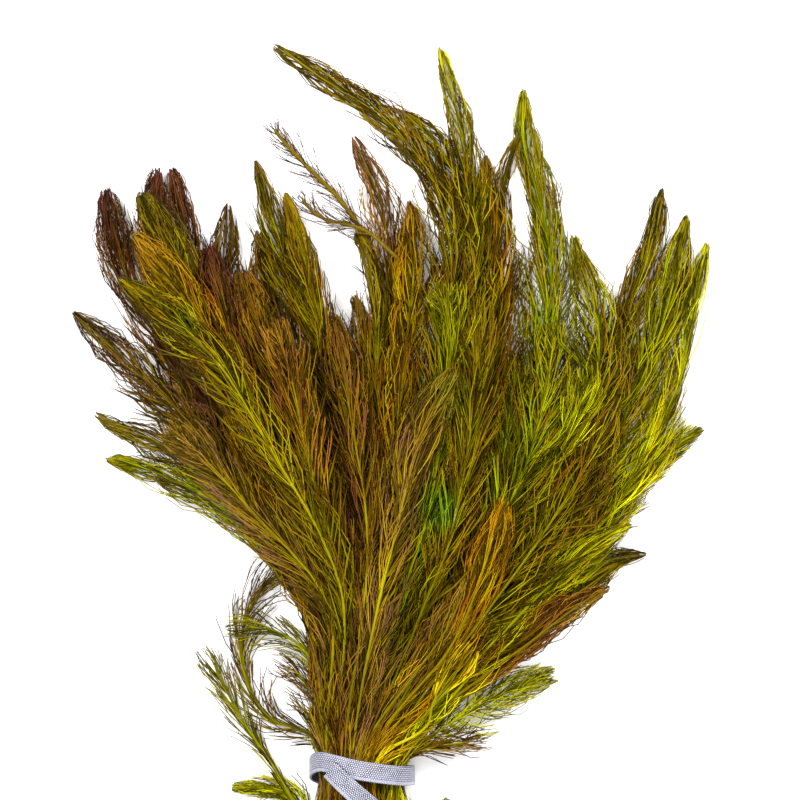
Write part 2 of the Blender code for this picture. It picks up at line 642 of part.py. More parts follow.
def make_tie(collection):
    """The metal strip: a flat ribbon bent round the section along its route."""
    outline, lengths = tie_section()
    around = lengths[-1]
    curve, along = smooth_route(strip_line(outline, lengths), 0.5)
    count = int(round(along[-1] / STRIP_STEP))
    points = []
    for length in np.linspace(0.0, along[-1], count + 1):
        position, direction = place_on(curve, along, length)
        side = np.array([-direction[1], direction[0]])
        lift = LAP_LIFT * min(1.0, max(0.0, (22.0 - length) / 9.0))
        for face_lift in (lift, lift - STRIP_THICK):
            for across in (-0.5, 0.0, 0.5):
                round_place, level = position + side * across * STRIP_WIDTH
                here = [np.interp(round_place % around, lengths, outline[:, i]) for i in range(4)]
                points.append((here[0] + here[2] * face_lift, level, here[1] + here[3] * face_lift))
    loop = (0, 1, 2, 5, 4, 3)
    faces = []
    for ring in range(count):
        for place in range(6):
            a, b = loop[place] + 6 * ring, loop[(place + 1) % 6] + 6 * ring
            faces.append((a, a + 6, b + 6))
            faces.append((a, b + 6, b))
    last = 6 * count
    faces.extend([(0, 1, 3), (1, 4, 3), (1, 2, 4), (2, 5, 4)])
    faces.extend([(last, last + 3, last + 1), (last + 1, last + 3, last + 4),
                  (last + 1, last + 4, last + 2), (last + 2, last + 4, last + 5)])
    material = make_material("tie", COLOURS["metal"], 0.4, 0.9)
    return make_object("tie", points, faces, material, collection)


def build():
    for item in list(bpy.data.objects):
        bpy.data.objects.remove(item, do_unlink=True)
    collection = bpy.data.collections.new("hornwort_bunch")
    bpy.context.scene.collection.children.link(collection)

    make_tie(collection)
    heap = Heap()
    for number in range(len(ROWS)):
        lay_row(heap, number, collection)
        if number == UPPER_SHOOTS_AFTER_ROW:
            for sprig in UPPER_SHOOTS:
                lay_plume(heap, sprig, collection)
    for sprig in LOWER_SHOOTS:
        lay_plume(heap, sprig, collection)
    print("heap height", round(float(heap.height.max()), 1), "mm")


build()
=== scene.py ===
# %% [markdown]
# # A tied bunch of hornwort
#
# Hornwort is a pond plant without roots. Its stems carry whorls of stiff, thread-like leaves that
# fork once or twice. Out of the water the whorls fold up along the stem, so that each stem looks
# like a wet fox tail. The bunch is held by a strip of soft, dimpled metal.
#
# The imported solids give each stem's plume as a plain six-sided form. This lesson grows a stem and
# all its leaves inside each of those forms, so every plume keeps its place, its width and its tip.

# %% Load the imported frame
import math
from collections import namedtuple
from itertools import product

import bmesh
import bpy
import numpy as np
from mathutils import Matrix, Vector


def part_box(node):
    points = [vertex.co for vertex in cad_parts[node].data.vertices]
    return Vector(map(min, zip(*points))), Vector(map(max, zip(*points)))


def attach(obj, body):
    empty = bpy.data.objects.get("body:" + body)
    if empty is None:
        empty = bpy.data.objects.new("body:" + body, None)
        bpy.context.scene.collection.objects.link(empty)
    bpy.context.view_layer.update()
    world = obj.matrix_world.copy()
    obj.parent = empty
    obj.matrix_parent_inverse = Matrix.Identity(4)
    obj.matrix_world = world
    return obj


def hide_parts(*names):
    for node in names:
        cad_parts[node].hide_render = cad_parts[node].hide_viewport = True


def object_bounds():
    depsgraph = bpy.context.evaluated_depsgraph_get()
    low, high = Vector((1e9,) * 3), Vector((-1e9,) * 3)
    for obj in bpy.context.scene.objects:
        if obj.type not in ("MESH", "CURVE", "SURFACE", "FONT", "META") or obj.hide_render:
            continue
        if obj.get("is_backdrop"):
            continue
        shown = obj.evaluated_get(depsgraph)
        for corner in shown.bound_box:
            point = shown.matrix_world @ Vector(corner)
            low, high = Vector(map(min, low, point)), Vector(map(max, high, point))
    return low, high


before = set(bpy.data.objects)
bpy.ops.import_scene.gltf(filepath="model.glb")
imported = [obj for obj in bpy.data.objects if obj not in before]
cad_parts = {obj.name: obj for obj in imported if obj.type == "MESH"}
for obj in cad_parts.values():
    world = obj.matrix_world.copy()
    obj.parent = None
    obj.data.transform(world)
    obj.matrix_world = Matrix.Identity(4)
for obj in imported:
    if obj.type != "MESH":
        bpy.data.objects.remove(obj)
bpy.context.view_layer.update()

MM = 0.001
print("nodes to dress:", len(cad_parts))

# %% [markdown]
# ## The camera, the table and the light
#
# The bunch was photographed from straight above on a bright white table. A long lens from far
# above keeps the high middle of the bunch from looking larger than its tips. The camera comes
# first, because everything after it is judged through its frame.
#
# The table glows a little. That stands for the light that a bright white room throws back, and it
# keeps the shadows between the leaves pale, as the photograph shows them.

# %% Set the camera above the bunch
FRAME_WIDTH = 320.0
FRAME_CENTRE = (15.2, 161.2)
MIDDLE_HEIGHT = 18.0
CAMERA_HEIGHT = 2600.0
SENSOR = 36.0
FAR_CLIP = 20.0


def put_in_scene(name, data):
    """An object that shows its data in the scene."""
    thing = bpy.data.objects.new(name, data)
    bpy.context.scene.collection.objects.link(thing)
    return thing


lens = bpy.data.cameras.new("camera_above")
lens.sensor_width = SENSOR
lens.lens = SENSOR * (CAMERA_HEIGHT - MIDDLE_HEIGHT) / FRAME_WIDTH
lens.clip_end = FAR_CLIP
camera = put_in_scene("camera_above", lens)
camera.location = (FRAME_CENTRE[0] * MM, FRAME_CENTRE[1] * MM, CAMERA_HEIGHT * MM)
bpy.context.scene.camera = camera
print("lens", round(lens.lens), "mm")

# %% Lay a white table and hang soft lights
TABLE_HALF = 2.5
TABLE_AHEAD = 0.15
TABLE_DROP = 0.2
TABLE_WHITE = (0.92, 0.92, 0.93, 1.0)
TABLE_ROUGHNESS = 0.9
TABLE_GLOW = 0.22
WHITE = (1.0, 1.0, 1.0, 1.0)
AMBIENT = 0.5
LAMPS = [
    # name, place in metres, edge in metres, watts
    ("lamp_upper_left", (-0.75, 0.75, 1.15), 0.55, 27.0),
    ("lamp_upper_right", (0.95, 0.65, 1.05), 0.55, 17.0),
    ("lamp_lower", (0.1, -0.95, 1.0), 0.8, 8.5),
]


def fill_inputs(tree, node, inputs):
    """Link each named input of a node to a socket, or give it its value."""
    for name, value in inputs.items():
        if isinstance(value, bpy.types.NodeSocket):
            tree.links.new(value, node.inputs[name])
        else:
            node.inputs[name].default_value = value


def new_finish(name):
    """A material, its tree and its shader."""
    material = bpy.data.materials.new(name)
    material.use_nodes = True
    return material, material.node_tree, material.node_tree.nodes["Principled BSDF"]


def piece_of(shape, name, finish):
    """An object made of a bmesh, which is freed."""
    mesh = bpy.data.meshes.new(name)
    shape.to_mesh(mesh)
    shape.free()
    mesh.materials.append(finish)
    return put_in_scene(name, mesh)


def add_table():
    shape = bmesh.new()
    bmesh.ops.create_grid(shape, x_segments=1, y_segments=1, size=TABLE_HALF)
    bmesh.ops.translate(shape, verts=shape.verts, vec=(0.0, TABLE_AHEAD, -TABLE_DROP * MM))
    paint, tree, shader = new_finish("table_white")
    fill_inputs(tree, shader, {"Base Color": TABLE_WHITE, "Roughness": TABLE_ROUGHNESS,
                               "Emission Color": WHITE, "Emission Strength": TABLE_GLOW})
    table = piece_of(shape, "table", paint)
    table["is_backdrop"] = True


def add_lamp(name, place, edge, watts):
    data = bpy.data.lights.new(name, "AREA")
    data.shape = "SQUARE"
    data.size = edge
    data.energy = watts
    lamp = put_in_scene(name, data)
    lamp.location = place
    target = Vector((FRAME_CENTRE[0] * MM, FRAME_CENTRE[1] * MM, 0.0))
    lamp.rotation_euler = (target - lamp.location).to_track_quat("-Z", "Y").to_euler()


def add_sky():
    world = bpy.data.worlds.new("white_room")
    world.use_nodes = True
    background = world.node_tree.nodes["Background"]
    fill_inputs(world.node_tree, background, {"Color": WHITE, "Strength": AMBIENT})
    bpy.context.scene.world = world


add_table()
add_sky()
for lamp in LAMPS:
    add_lamp(*lamp)
bpy.context.scene.view_settings.view_transform = "Standard"
print("lamps", len(LAMPS))

# %% [markdown]
# ## Reading a plume's form from its solid
#
# Each stem's solid is a loft: a tip, then rings of six corners down to the base. The mesh in the
# frame is loose triangles, so a copy is merged first. Then a walk outwards from the tip meets the
# rings one by one. A ring gives a middle, a half width and a half height, and that is all the
# leaves need to know.

# %% Find the rings of a plume
RING_CORNERS = 6
MERGE = 0.01

Form = namedtuple("Form", "middle half_width half_height along")


def merged_net(node):
    """A node's corners without doubles, in millimetres, and each one's neighbours."""
    shape = bmesh.new()
    shape.from_mesh(node.data)
    bmesh.ops.remove_doubles(shape, verts=shape.verts[:], dist=MERGE * MM)
    shape.verts.index_update()
    points = np.array([corner.co for corner in shape.verts]) / MM
    beside = [[edge.other_vert(corner).index for edge in corner.link_edges]
              for corner in shape.verts]
    shape.free()
    return points, beside


def steps_from(start, beside):
    """How many edges each corner is away from a corner."""
    steps = np.full(len(beside), -1)
    steps[start] = 0
    edge_of_walk = [start]
    while edge_of_walk:
        following = []
        for corner in edge_of_walk:
            for other in beside[corner]:
                if steps[other] < 0:
                    steps[other] = steps[corner] + 1
                    following.append(other)
        edge_of_walk = following
    return steps


def lengths_along(points):
    """The length from the first point to each point of a row."""
    spans = np.linalg.norm(np.diff(points, axis=0), axis=1)
    return np.concatenate([[0.0], np.cumsum(spans)])


def read_plume(node):
    """A plume's form from its tip down."""
    points, beside = merged_net(node)
    for tip in range(len(points)):
        if len(beside[tip]) != RING_CORNERS:
            continue
        steps = steps_from(tip, beside)
        if set(np.bincount(steps)[1:]) == {RING_CORNERS}:
            break
    rings = [points[steps == step] for step in range(1, steps.max() + 1)]
    middle = np.array([points[tip]] + [ring.mean(axis=0) for ring in rings])
    out = [np.linalg.norm((ring - ring.mean(axis=0))[:, :2], axis=1).max() for ring in rings]
    up = [np.ptp(ring[:, 2]) / 2 for ring in rings]
    return Form(middle, np.array([0.0] + out), np.array([0.0] + up), lengths_along(middle))


forms = {name: read_plume(node) for name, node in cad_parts.items() if name != "tie"}
print("plumes", len(forms), "of", round(sum(form.along[-1] for form in forms.values())), "mm")

# %% [markdown]
# ## How far the leaves may spread
#
# In the thick of the bunch the leaves of one stem reach across its neighbours, and no gap is left.
# Towards the tips each plume keeps to itself, and the white table shows between them. A map of the
# bunch seen from above says where leaves may go: the forms themselves, with the narrow gaps between
# them filled near the strip, and hardly at all far from it. Round fillings then close a few gaps,
# and round clearings open the ones that the photograph shows.

# %% Map the bunch seen from above
MAP_LOW = (-135.0, -50.0)
MAP_SIZE = (295, 375)
MAP_STEP = 2.0
FORM_MARGIN = 1.0
NEAR_GAP = 11
FAR_GAP = 6
FAR_FROM_STRIP = 158.0
STRIP_MIDDLE = 6.0
# Loose stems keep to no map: how far their leaves stand out on each side.
LOOSE = {"curled_sprig": 11, "low_sprig_1": 10, "low_sprig_2": 13, "outer_shoot": 9,
         "lower_tuft_1": 16, "lower_tuft_2": 13, "lower_tuft_3": 12, "right_sprig_09": 14,
         "right_sprig_14": 8, "side_shoot": 6, "middle_sprig_07": 8}
# Stems whose leaves reach farther than their habit says, over the gaps beside them.
WIDER = {"middle_sprig_05": 19, "middle_sprig_06": 19, "right_sprig_01": 20,
         "right_sprig_02": 18, "right_sprig_11": 18, "right_sprig_12": 18}
# Places where the table shows between two stems: across, along and radius.
CLEARINGS = [(64, 230.5, 3.4), (63, 239, 3.8), (61.5, 249, 3.9), (60.5, 258.5, 3.7), (-19, 287, 3),
             (-11, 281, 3), (-3, 275, 3), (5, 267, 3), (13, 259, 3), (19, 251, 3), (23, 243, 3),
             (26, 235, 2.5), (111, 227, 3), (105, 216.5, 3), (102.5, 211, 2.5), (138.5, 213, 3),
             (137, 197, 3), (134, 181, 3), (130.5, 163, 3), (-85, 126.5, 2.5), (-73, 119, 2.5),
             (-63, 112.5, 2.5), (-51, 105, 2.5), (0, 209, 2.5), (30.8, 287, 2.4), (31.5, 279, 2.4),
             (33, 271, 2.4), (-64, 237, 3.5), (-68.5, 244, 2.5), (-37, 239, 3), (-22, 234, 3),
             (0, 217, 2.5), (107.5, 222, 3), (113.5, 233, 2.5), (137.5, 205, 3), (136, 189, 3),
             (132.5, 172, 3), (-79, 250.5, 1.6), (-79.3, 254.5, 1.8)]
# Places between two stems that leaves cover: across, along and radius.
FILLINGS = [(-105, 176, 8), (-100, 168, 8), (-96, 146, 6), (-3, 245, 5), (37, 293, 3),
            (-7, 205, 3), (71, 59, 6), (67, 47, 6), (57, 42, 7), (47, 33, 6), (-18, 25, 4),
            (-18, 33, 5), (20, 4, 5), (20, -5, 5), (-20, 7, 5), (-21, -3, 6), (-89, 247, 4),
            (-85, 252.5, 4), (-106.5, 223, 4), (-105, 213, 4), (-101.5, 203, 4), (-15, 297, 3),
            (-5, 290, 3), (5, 283, 3), (15, 276.5, 3), (-28, 300, 2.5), (131, 232, 3),
            (-33, 80, 4), (-108.5, 217, 4), (-107, 206, 4), (-103, 196, 4), (26, 17, 5)]

map_x = MAP_LOW[0] + np.arange(MAP_SIZE[0])[:, None]
map_y = MAP_LOW[1] + np.arange(MAP_SIZE[1])[None, :]


def apart(x, y):
    """How far each place of the map is from a point, squared."""
    return (map_x - x) ** 2 + (map_y - y) ** 2


def walk_down(form):
    """The middle's three places, the half width and the half height, step by step from the tip."""
    for place in np.arange(0.0, form.along[-1], MAP_STEP):
        yield [np.interp(place, form.along, values)
               for values in (*form.middle.T, form.half_width, form.half_height)]


def footprint(names):
    """True where a form covers the table, on a map of square millimetres."""
    covered = np.zeros(MAP_SIZE, bool)
    for name in names:
        for x, y, _, width, _ in walk_down(forms[name]):
            covered |= apart(x, y) < (width + FORM_MARGIN) ** 2
    return covered


def steps_around(reach):
    """Every whole step across and along, up to reach each way."""
    return product(range(-reach, reach + 1), repeat=2)


def grown(covered, reach):
    """The map with everything within reach of it."""
    wider = covered.copy()
    for across, along in steps_around(reach):
        if across**2 + along**2 <= reach**2:
            wider |= np.roll(covered, (across, along), (0, 1))
    return wider


def gaps_filled(covered, gap):
    return ~grown(~grown(covered, gap), gap)


held_forms = footprint([name for name in forms if name not in LOOSE])
near_strip = np.hypot(map_x, map_y - STRIP_MIDDLE) < FAR_FROM_STRIP
leaf_map = gaps_filled(held_forms, FAR_GAP) | (gaps_filled(held_forms, NEAR_GAP) & near_strip)
for x, y, reach in FILLINGS:
    leaf_map |= apart(x, y) < reach**2
for x, y, reach in CLEARINGS:
    leaf_map &= apart(x, y) > reach**2
print("forms cover", held_forms.sum() // 100, "cm2 and the leaves", leaf_map.sum() // 100, "cm2")


def map_cells(points):
    """The cells of the map under some points."""
    cells = np.round(points[..., :2] - MAP_LOW).astype(int)
    return tuple(np.moveaxis(np.clip(cells, 0, np.array(MAP_SIZE) - 1), -1, 0))


def on_leaf_map(points):
    """Whether places seen from above lie where leaves may go."""
    return leaf_map[map_cells(points)]


# %% [markdown]
# ## Which leaves nobody can see
#
# The heart of the bunch is packed with leaves that no view reaches. They are made coarse, so that
# the leaves that do show can be finer and closer together. Two more maps hold the highest and the
# lowest place of the forms. A leaf is buried where it lies well below the one and well above the
# other. Away from the outline every stem also gets some coarse leaves on its underside. They
# close the heap, so that no table shines through its middle. The buried leaves and these
# under-leaves are painted dark, as painted shade.

# %% Map the upper and lower side of the bunch
ROUNDNESS = 0.8
SIDE_MARGIN = 0.5
BURIED_UNDER = 4.0
LOOK_ASIDE = 3
INNER_MARGIN = 3
UNDER_LOW = 1.5


def cover_heights():
    """The highest and the lowest place of the forms over each square millimetre."""
    highest = np.full(MAP_SIZE, -np.inf)
    lowest = np.full(MAP_SIZE, np.inf)
    for form in forms.values():
        for x, y, z, width, height in walk_down(form):
            near = apart(x, y) < (width + SIDE_MARGIN) ** 2
            highest[near] = np.maximum(highest[near], z + ROUNDNESS * height)
            lowest[near] = np.minimum(lowest[near], z - ROUNDNESS * height)
    return highest, lowest


def least_around(values, reach):
    """The least value within reach of each place."""
    return np.min([np.roll(values, step, (0, 1)) for step in steps_around(reach)], axis=0)


highest, lowest = cover_heights()
buried_below = least_around(highest, LOOK_ASIDE) - BURIED_UNDER
buried_above = -least_around(-lowest, LOOK_ASIDE) + BURIED_UNDER
inner_map = ~grown(~leaf_map, INNER_MARGIN)
print("buried places", round((buried_below > buried_above).sum() / 100), "cm2")


def buried(points):
    """Whether places lie deep inside the bunch."""
    cells = map_cells(points)
    return (points[..., 2] < buried_below[cells]) & (points[..., 2] > buried_above[cells])


def well_inside(points):
    """Whether places lie away from the outline of the bunch and off the table."""
    return inner_map[map_cells(points)] & (points[..., 2] > UNDER_LOW)


# %% [markdown]
# ## From a place in the plume to a place in space
#
# A leaf is drawn in the plume's own terms: how far down from the tip, which way round the stem,
# and how far out as a share of the form. One function turns that into millimetres. The middle line
# is a smooth curve through the rings, because a real stem has no kinks.

# %% Turn plume places into points
CURVE_STEP = 1.5
LEAST_HALF = 0.35
TABLE_CLEAR = 0.3
SHORTEST = 1e-9
STRIP_MARGIN = 0.5
STRIP_WALL = 1.4
STRIP_CROWN = 2.8
STRIP_SHOULDER = 6.0
GRIP = 15.0
FULLNESS = 2.4
SPREAD_AT_STRIP = 3.0
SPREAD_FROM_TIP = 0.42
SPREAD_FROM_STRIP = 0.7
FLATNESS = 0.3
HIDDEN_STEM = 45.0
LIFT_LOW = 45.0
LIFT_RUN = 35.0

tie_low, tie_high = (np.array(corner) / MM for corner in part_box("tie"))
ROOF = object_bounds()[1][2] / MM + STRIP_MARGIN
STRIP_LOW = tie_low[1] - STRIP_MARGIN
STRIP_HIGH = tie_high[1] + STRIP_MARGIN
STRIP_HALF = tie_high[0] - STRIP_WALL
STRIP_ROOF = tie_high[2] - STRIP_CROWN


def smooth_line(points, along, places):
    """Points on a smooth curve through the given ones, at lengths along them."""
    slopes = np.gradient(points, along, axis=0)
    piece = np.clip(np.searchsorted(along, places, side="right") - 1, 0, len(along) - 2)
    span = (along[piece + 1] - along[piece])[:, None]
    t = (places - along[piece])[:, None] / span
    start, end = points[piece], points[piece + 1]
    out, into = slopes[piece] * span, slopes[piece + 1] * span
    return ((2 * t**3 - 3 * t**2 + 1) * start + (t**3 - 2 * t**2 + t) * out
            + (3 * t**2 - 2 * t**3) * end + (t**3 - t**2) * into)


def kept_in_strip(points):
    """Points with those beside the strip moved inside its loop."""
    across, level, height = (points[..., axis] for axis in range(3))
    beside = (level > STRIP_LOW) & (level < STRIP_HIGH)
    gripped = beside & (level > STRIP_HIGH - GRIP)
    inside = np.clip(across, -STRIP_HALF, STRIP_HALF)
    rise = (1.0 - (np.abs(inside) / STRIP_HALF) ** FULLNESS) ** (1.0 / FULLNESS)
    roof = STRIP_SHOULDER + (STRIP_ROOF - STRIP_SHOULDER) * rise
    points[..., 0] = np.where(gripped, inside, across)
    points[..., 2] = np.where(beside, np.minimum(height, roof), height)
    return points


def unit(vectors):
    """Vectors of length one."""
    return vectors / np.maximum(np.linalg.norm(vectors, axis=-1), SHORTEST)[..., None]


class Plume:
    """The form of one plume, finely sampled, with the directions across and up at each place."""

    def __init__(self, form, spread, blunt, bright=False, loose=False):
        self.bright, self.loose = bright, loose
        count = int(form.along[-1] / CURVE_STEP) + 2
        self.along = np.linspace(0.0, form.along[-1], count)
        self.middle = smooth_line(form.middle, form.along, self.along)
        run = unit(np.gradient(self.middle, self.along, axis=0))
        self.across = unit(np.cross(run, (0.0, 0.0, 1.0)))
        self.up = np.cross(self.across, run)
        self.length = form.along[-1]
        beside = np.abs(self.middle[:, 1] - (STRIP_HIGH - GRIP / 2)) < GRIP / 2
        self.held = beside.any() and np.abs(self.middle[beside, 0]).max() < STRIP_HALF
        free = self.free_spread(spread, blunt)
        self.width = np.maximum(np.interp(self.along, form.along, form.half_width), LEAST_HALF)
        self.height = np.maximum(np.interp(self.along, form.along, form.half_height), LEAST_HALF)
        self.width = np.maximum(self.width, free)
        self.height = np.maximum(self.height, FLATNESS * free)

    def free_spread(self, spread, blunt):
        """How far leaves may spread at each place: little in the strip and near it."""
        level = self.middle[:, 1]
        free = np.minimum(spread, blunt + SPREAD_FROM_TIP * self.along)
        above = level > STRIP_HIGH
        if above.all() or not above.any():
            return free
        leaves_strip = self.along[above].max()
        away = np.where(above, leaves_strip - self.along, STRIP_HIGH - GRIP - level)
        room = SPREAD_AT_STRIP + SPREAD_FROM_STRIP * np.maximum(away, 0.0)
        return np.minimum(free, room)

    def lift(self, places):
        """A bright stem lies on top of its leaves, but not near the tip or the strip."""
        level = np.interp(places, self.along, self.middle[:, 1])
        return (np.clip((places - HIDDEN_STEM) / LIFT_RUN, 0.0, 1.0)
                * np.clip((level - LIFT_LOW) / LIFT_RUN, 0.0, 1.0))

    def at(self, values, places):
        return np.stack([np.interp(places, self.along, values[:, axis]) for axis in range(3)], -1)

    def points(self, places, turns, shares, rise=0.0):
        """Points in millimetres, kept between the table and the top of the bunch."""
        wide = np.interp(places, self.along, self.width) * shares * np.cos(turns)
        high = np.interp(places, self.along, self.height) * (shares * np.sin(turns) + rise)
        found = (self.at(self.middle, places) + self.at(self.across, places) * wide[..., None]
                 + self.at(self.up, places) * high[..., None])
        if self.held:
            found = kept_in_strip(found)
        found[..., 2] = np.clip(found[..., 2], TABLE_CLEAR, ROOF)
        return found


test_plume = Plume(forms["left_sprig_01"], 12.0, 0.0)
print("left_sprig_01 spreads", round(test_plume.width.max() * 2), "mm wide at most")

# %% [markdown]
# ## Threads
#
# Every leaf and every fork is a thin, round thread with a sharp end. Thousands of them are made at
# once with arrays: each thread is a row of points, each point gets three corners round it, and the
# last point is the tip. Three sides are enough for something thinner than half a millimetre.

# %% Make threads from rows of points
SIDES = 3
STEEP = 0.95

Threads = namedtuple("Threads", "points radii marks")


def thread_corners(points, radii, sides):
    """Corners round each row of points, with the last point kept single."""
    run = unit(np.gradient(points, axis=1))
    level = np.where(np.abs(run[..., 2:]) > STEEP, (1.0, 0.0, 0.0), (0.0, 0.0, 1.0))
    across = unit(np.cross(run, level))
    up = np.cross(across, run)
    turns = (np.arange(sides) * 2 * math.pi / sides + math.pi / 2)[:, None]
    ring = across[:, :-1, None] * np.cos(turns) + up[:, :-1, None] * np.sin(turns)
    corners = points[:, :-1, None] + ring * radii[:, :-1, None, None]
    rows = corners.reshape(len(points), -1, 3)
    return np.concatenate([rows, points[:, -1:]], axis=1)


def thread_faces(length, sides):
    """Triangles of one thread: a closed foot, the wall and the pointed end."""
    faces = [(0, side + 1, side) for side in range(1, sides - 1)]
    for ring in range(length - 2):
        for side in range(sides):
            near = ring * sides + side
            beyond = ring * sides + (side + 1) % sides
            faces += [(near, beyond, near + sides), (beyond, beyond + sides, near + sides)]
    last = (length - 2) * sides
    faces += [(last + side, last + (side + 1) % sides, last + sides) for side in range(sides)]
    return np.array(faces)


def weave(threads_of_one_kind, sides=SIDES):
    """All threads of one kind as one net: corners, faces and marks for the colour."""
    points, radii, marks = threads_of_one_kind
    corners = thread_corners(points, radii, sides)
    per_thread = corners.shape[1]
    faces = thread_faces(points.shape[1], sides)
    shift = np.arange(len(points))[:, None, None] * per_thread
    every_face = (faces[None] + shift).reshape(-1, 3)
    spread = {name: np.concatenate([np.repeat(value[:, :-1], sides, axis=1), value[:, -1:]],
                                   axis=1).ravel() for name, value in marks.items()}
    return corners.reshape(-1, 3), every_face, spread


print("triangles of a thread of six points:", len(thread_faces(6, SIDES)))

# %% [markdown]
# ## How a hornwort stem grows
#
# The nodes stand close together at the tip and farther apart below. From each node a whorl of
# leaves fans out, and each leaf bends up along the stem and forks. Different stems in the bunch
# have different habits: full tails, dense brushes at the tip, open whorls and nearly bare ones.
#
# A habit is a row of numbers. It has the leaves of a whorl, the pitch of the whorls low on the stem
# and at its tip, a leaf's reach along the stem, how early it opens, and how far it may spread.
# Blunt widens the tip, a hook turns the leaf's end back to the stem, strays stand out, and ragged
# leaves differ in length. The last three are the bare length above the first whorl, the share of
# leaves that the crown keeps, and how thick the threads are.

# %% Describe the habits
Habit = namedtuple("Habit", "leaves pitch tip_pitch reach open spread blunt hook stray ragged "
                   "bare_tip crown_share thick", defaults=(1, 1))

HABITS = {
    "tail": Habit(14, 8, 4.2, 31, 1.6, 12.5, 1.6, 0.4, 0.05, 0.3, 6, 0.28, 1.1),
    "dense": Habit(16, 7.5, 3.6, 32, 1.4, 13.5, 0.8, 0.25, 0.03, 0.25, 6, 0.24, 1.1),
    "slit": Habit(12, 7.5, 4.6, 29, 1.7, 13, 1.4, 0.5, 0.03, 0.15, 8, 0.18, 1.2),
    "blade": Habit(13, 8, 2.8, 30, 1.4, 13, 0.5, 0.1, 0.06, 0.1, 7),
    "brush": Habit(14, 8, 2.9, 31, 1.8, 11.5, 2.5, 0.25, 0.06, 0.4, 5, 0.5),
    "burst": Habit(13, 8.5, 4.2, 27, 1.2, 12.5, 5.5, 0, 0.08, 0.5, 8),
    "bush": Habit(12, 5, 3.5, 17, 2.2, 14, 3, 0, 0.15, 0.5, 7),
    "spiky": Habit(13, 4.5, 3.5, 16, 1.15, 14, 1.2, 0, 0.3, 0.6, 5, 1, 1.1),
    "sparse": Habit(6, 8, 6, 15, 1.1, 8, 2.5, 0, 0.3, 0.5, 7, 1, 0.85),
    "fan": Habit(9, 9.5, 7.5, 21, 1.1, 9, 4, 0, 0.15, 0.5, 15, 1, 1.1),
    "spray": Habit(15, 60, 60, 32, 1.3, 9, 4, 0.2, 0, 0.25, 31, 1, 1.5),
}
CLOSE_NODES = 80.0
PITCH_SHARE = (0.85, 1.15)
LAST_NODE = 2.0


def node_places(plume, habit, chance):
    """Lengths from the tip at which whorls stand."""
    places = [habit.bare_tip]
    while places[-1] < plume.length - LAST_NODE:
        share = min(1.0, places[-1] / CLOSE_NODES)
        pitch = habit.tip_pitch + (habit.pitch - habit.tip_pitch) * share
        places.append(places[-1] + pitch * chance.uniform(*PITCH_SHARE))
    return np.array(places[:-1])


# %% Lay the paths of leaves
LEAF_STEPS = (0.0, 0.2, 0.48, 0.92, 1.0)
TOP_PLACE = 0.05
HOOK_FROM = 0.65
STEM_SHARE = 0.5
RISE = 0.7
CROWN_DEPTH = 70.0
NARROWINGS = (1.0, 0.8, 0.62, 0.45, 0.3, 0.15)
# Tufts of young, deep green leaves: across, along, radius and strength.
FRESH = [(31, 118, 11, 1), (-71, 192, 8, 0.4), (36, 165, 11, 0.35)]

Leaves = namedtuple("Leaves", "foot reach turn share power hook bend tone shade crown")


def leaf_paths(plume, leaves, steps, start=0.0, swing=0.0, drift=0.0):
    """Rows of points of leaves, from a share of their length to their end."""
    # The first seven values of a leaf are the ones that shape it.
    foot, reach, turn, share, power, hook, bend = (value[:, None] for value in leaves[:7])
    start, swing, drift = (np.broadcast_to(value, len(foot))[:, None]
                           for value in (start, swing, drift))
    t = start + (1.0 - start) * np.array(steps)
    places = np.maximum(foot - reach * t, TOP_PLACE)
    opening = 1.0 - (1.0 - t) ** power
    hooked = np.clip((t - HOOK_FROM) / (1.0 - HOOK_FROM), 0.0, 1.0) ** 2
    fork = (t - start) / (1.0 - start)
    turns = turn + bend * t**2 + swing * fork
    shares = share * opening * (1.0 - hook * hooked) + drift * fork * share
    least = STEM_SHARE / np.interp(places, plume.along, plume.width)
    lifted = RISE * plume.bright * plume.lift(places) * (1.0 - opening)
    return plume.points(places, turns, np.maximum(shares, least), lifted), t


def crown_mark(places):
    """One at the tip of a plume, falling to nothing where its crown ends."""
    return np.clip(1.0 - places / CROWN_DEPTH, 0.0, 1.0)


def fresh_mark(points):
    """One where a tuft of young, deep green leaves shows, and nothing away from it."""
    marks = []
    for x, y, reach, strength in FRESH:
        away = np.hypot(points[..., 0] - x, points[..., 1] - y)
        marks.append(strength * np.clip(2.0 - 2.0 * away / reach, 0.0, 1.0))
    return np.max(marks, axis=0)


def narrowed(plume, leaves):
    """Shares made smaller where a leaf would leave the map of the bunch."""
    result = np.zeros(len(leaves.foot))
    for narrowing in NARROWINGS:
        share = leaves.share * narrowing
        rows, _ = leaf_paths(plume, leaves._replace(share=share), LEAF_STEPS)
        fits = on_leaf_map(rows[:, 2:]).all(axis=1)
        result = np.where((result == 0.0) & fits, share, result)
    return np.where(result == 0.0, share, result)


# %% Plan the leaves of a stem
FOOT_SHIFT = (-0.4, 0.4)
TURN_SHIFT = (-0.25, 0.25)
REACHES = (0.72, 1.1)
SHARES = (0.1, 1.0)
OPENINGS = (0.8, 1.25)
TIP_ROOM = 0.1
STRAY_SHARE = 1.2
BEND = 0.3
BEND_FROM = (70.0, 170.0)
BEND_GROWS = (1.0, 2.2)
TONE_SPREAD = 0.32
# Painted shade: a leaf at the stem, inside its plume, keeps this share of its lightness.
INSIDE_PAINTED_SHADE = 0.4
UNDER_LEAVES = 8
UNDER_SPREAD = 1.3


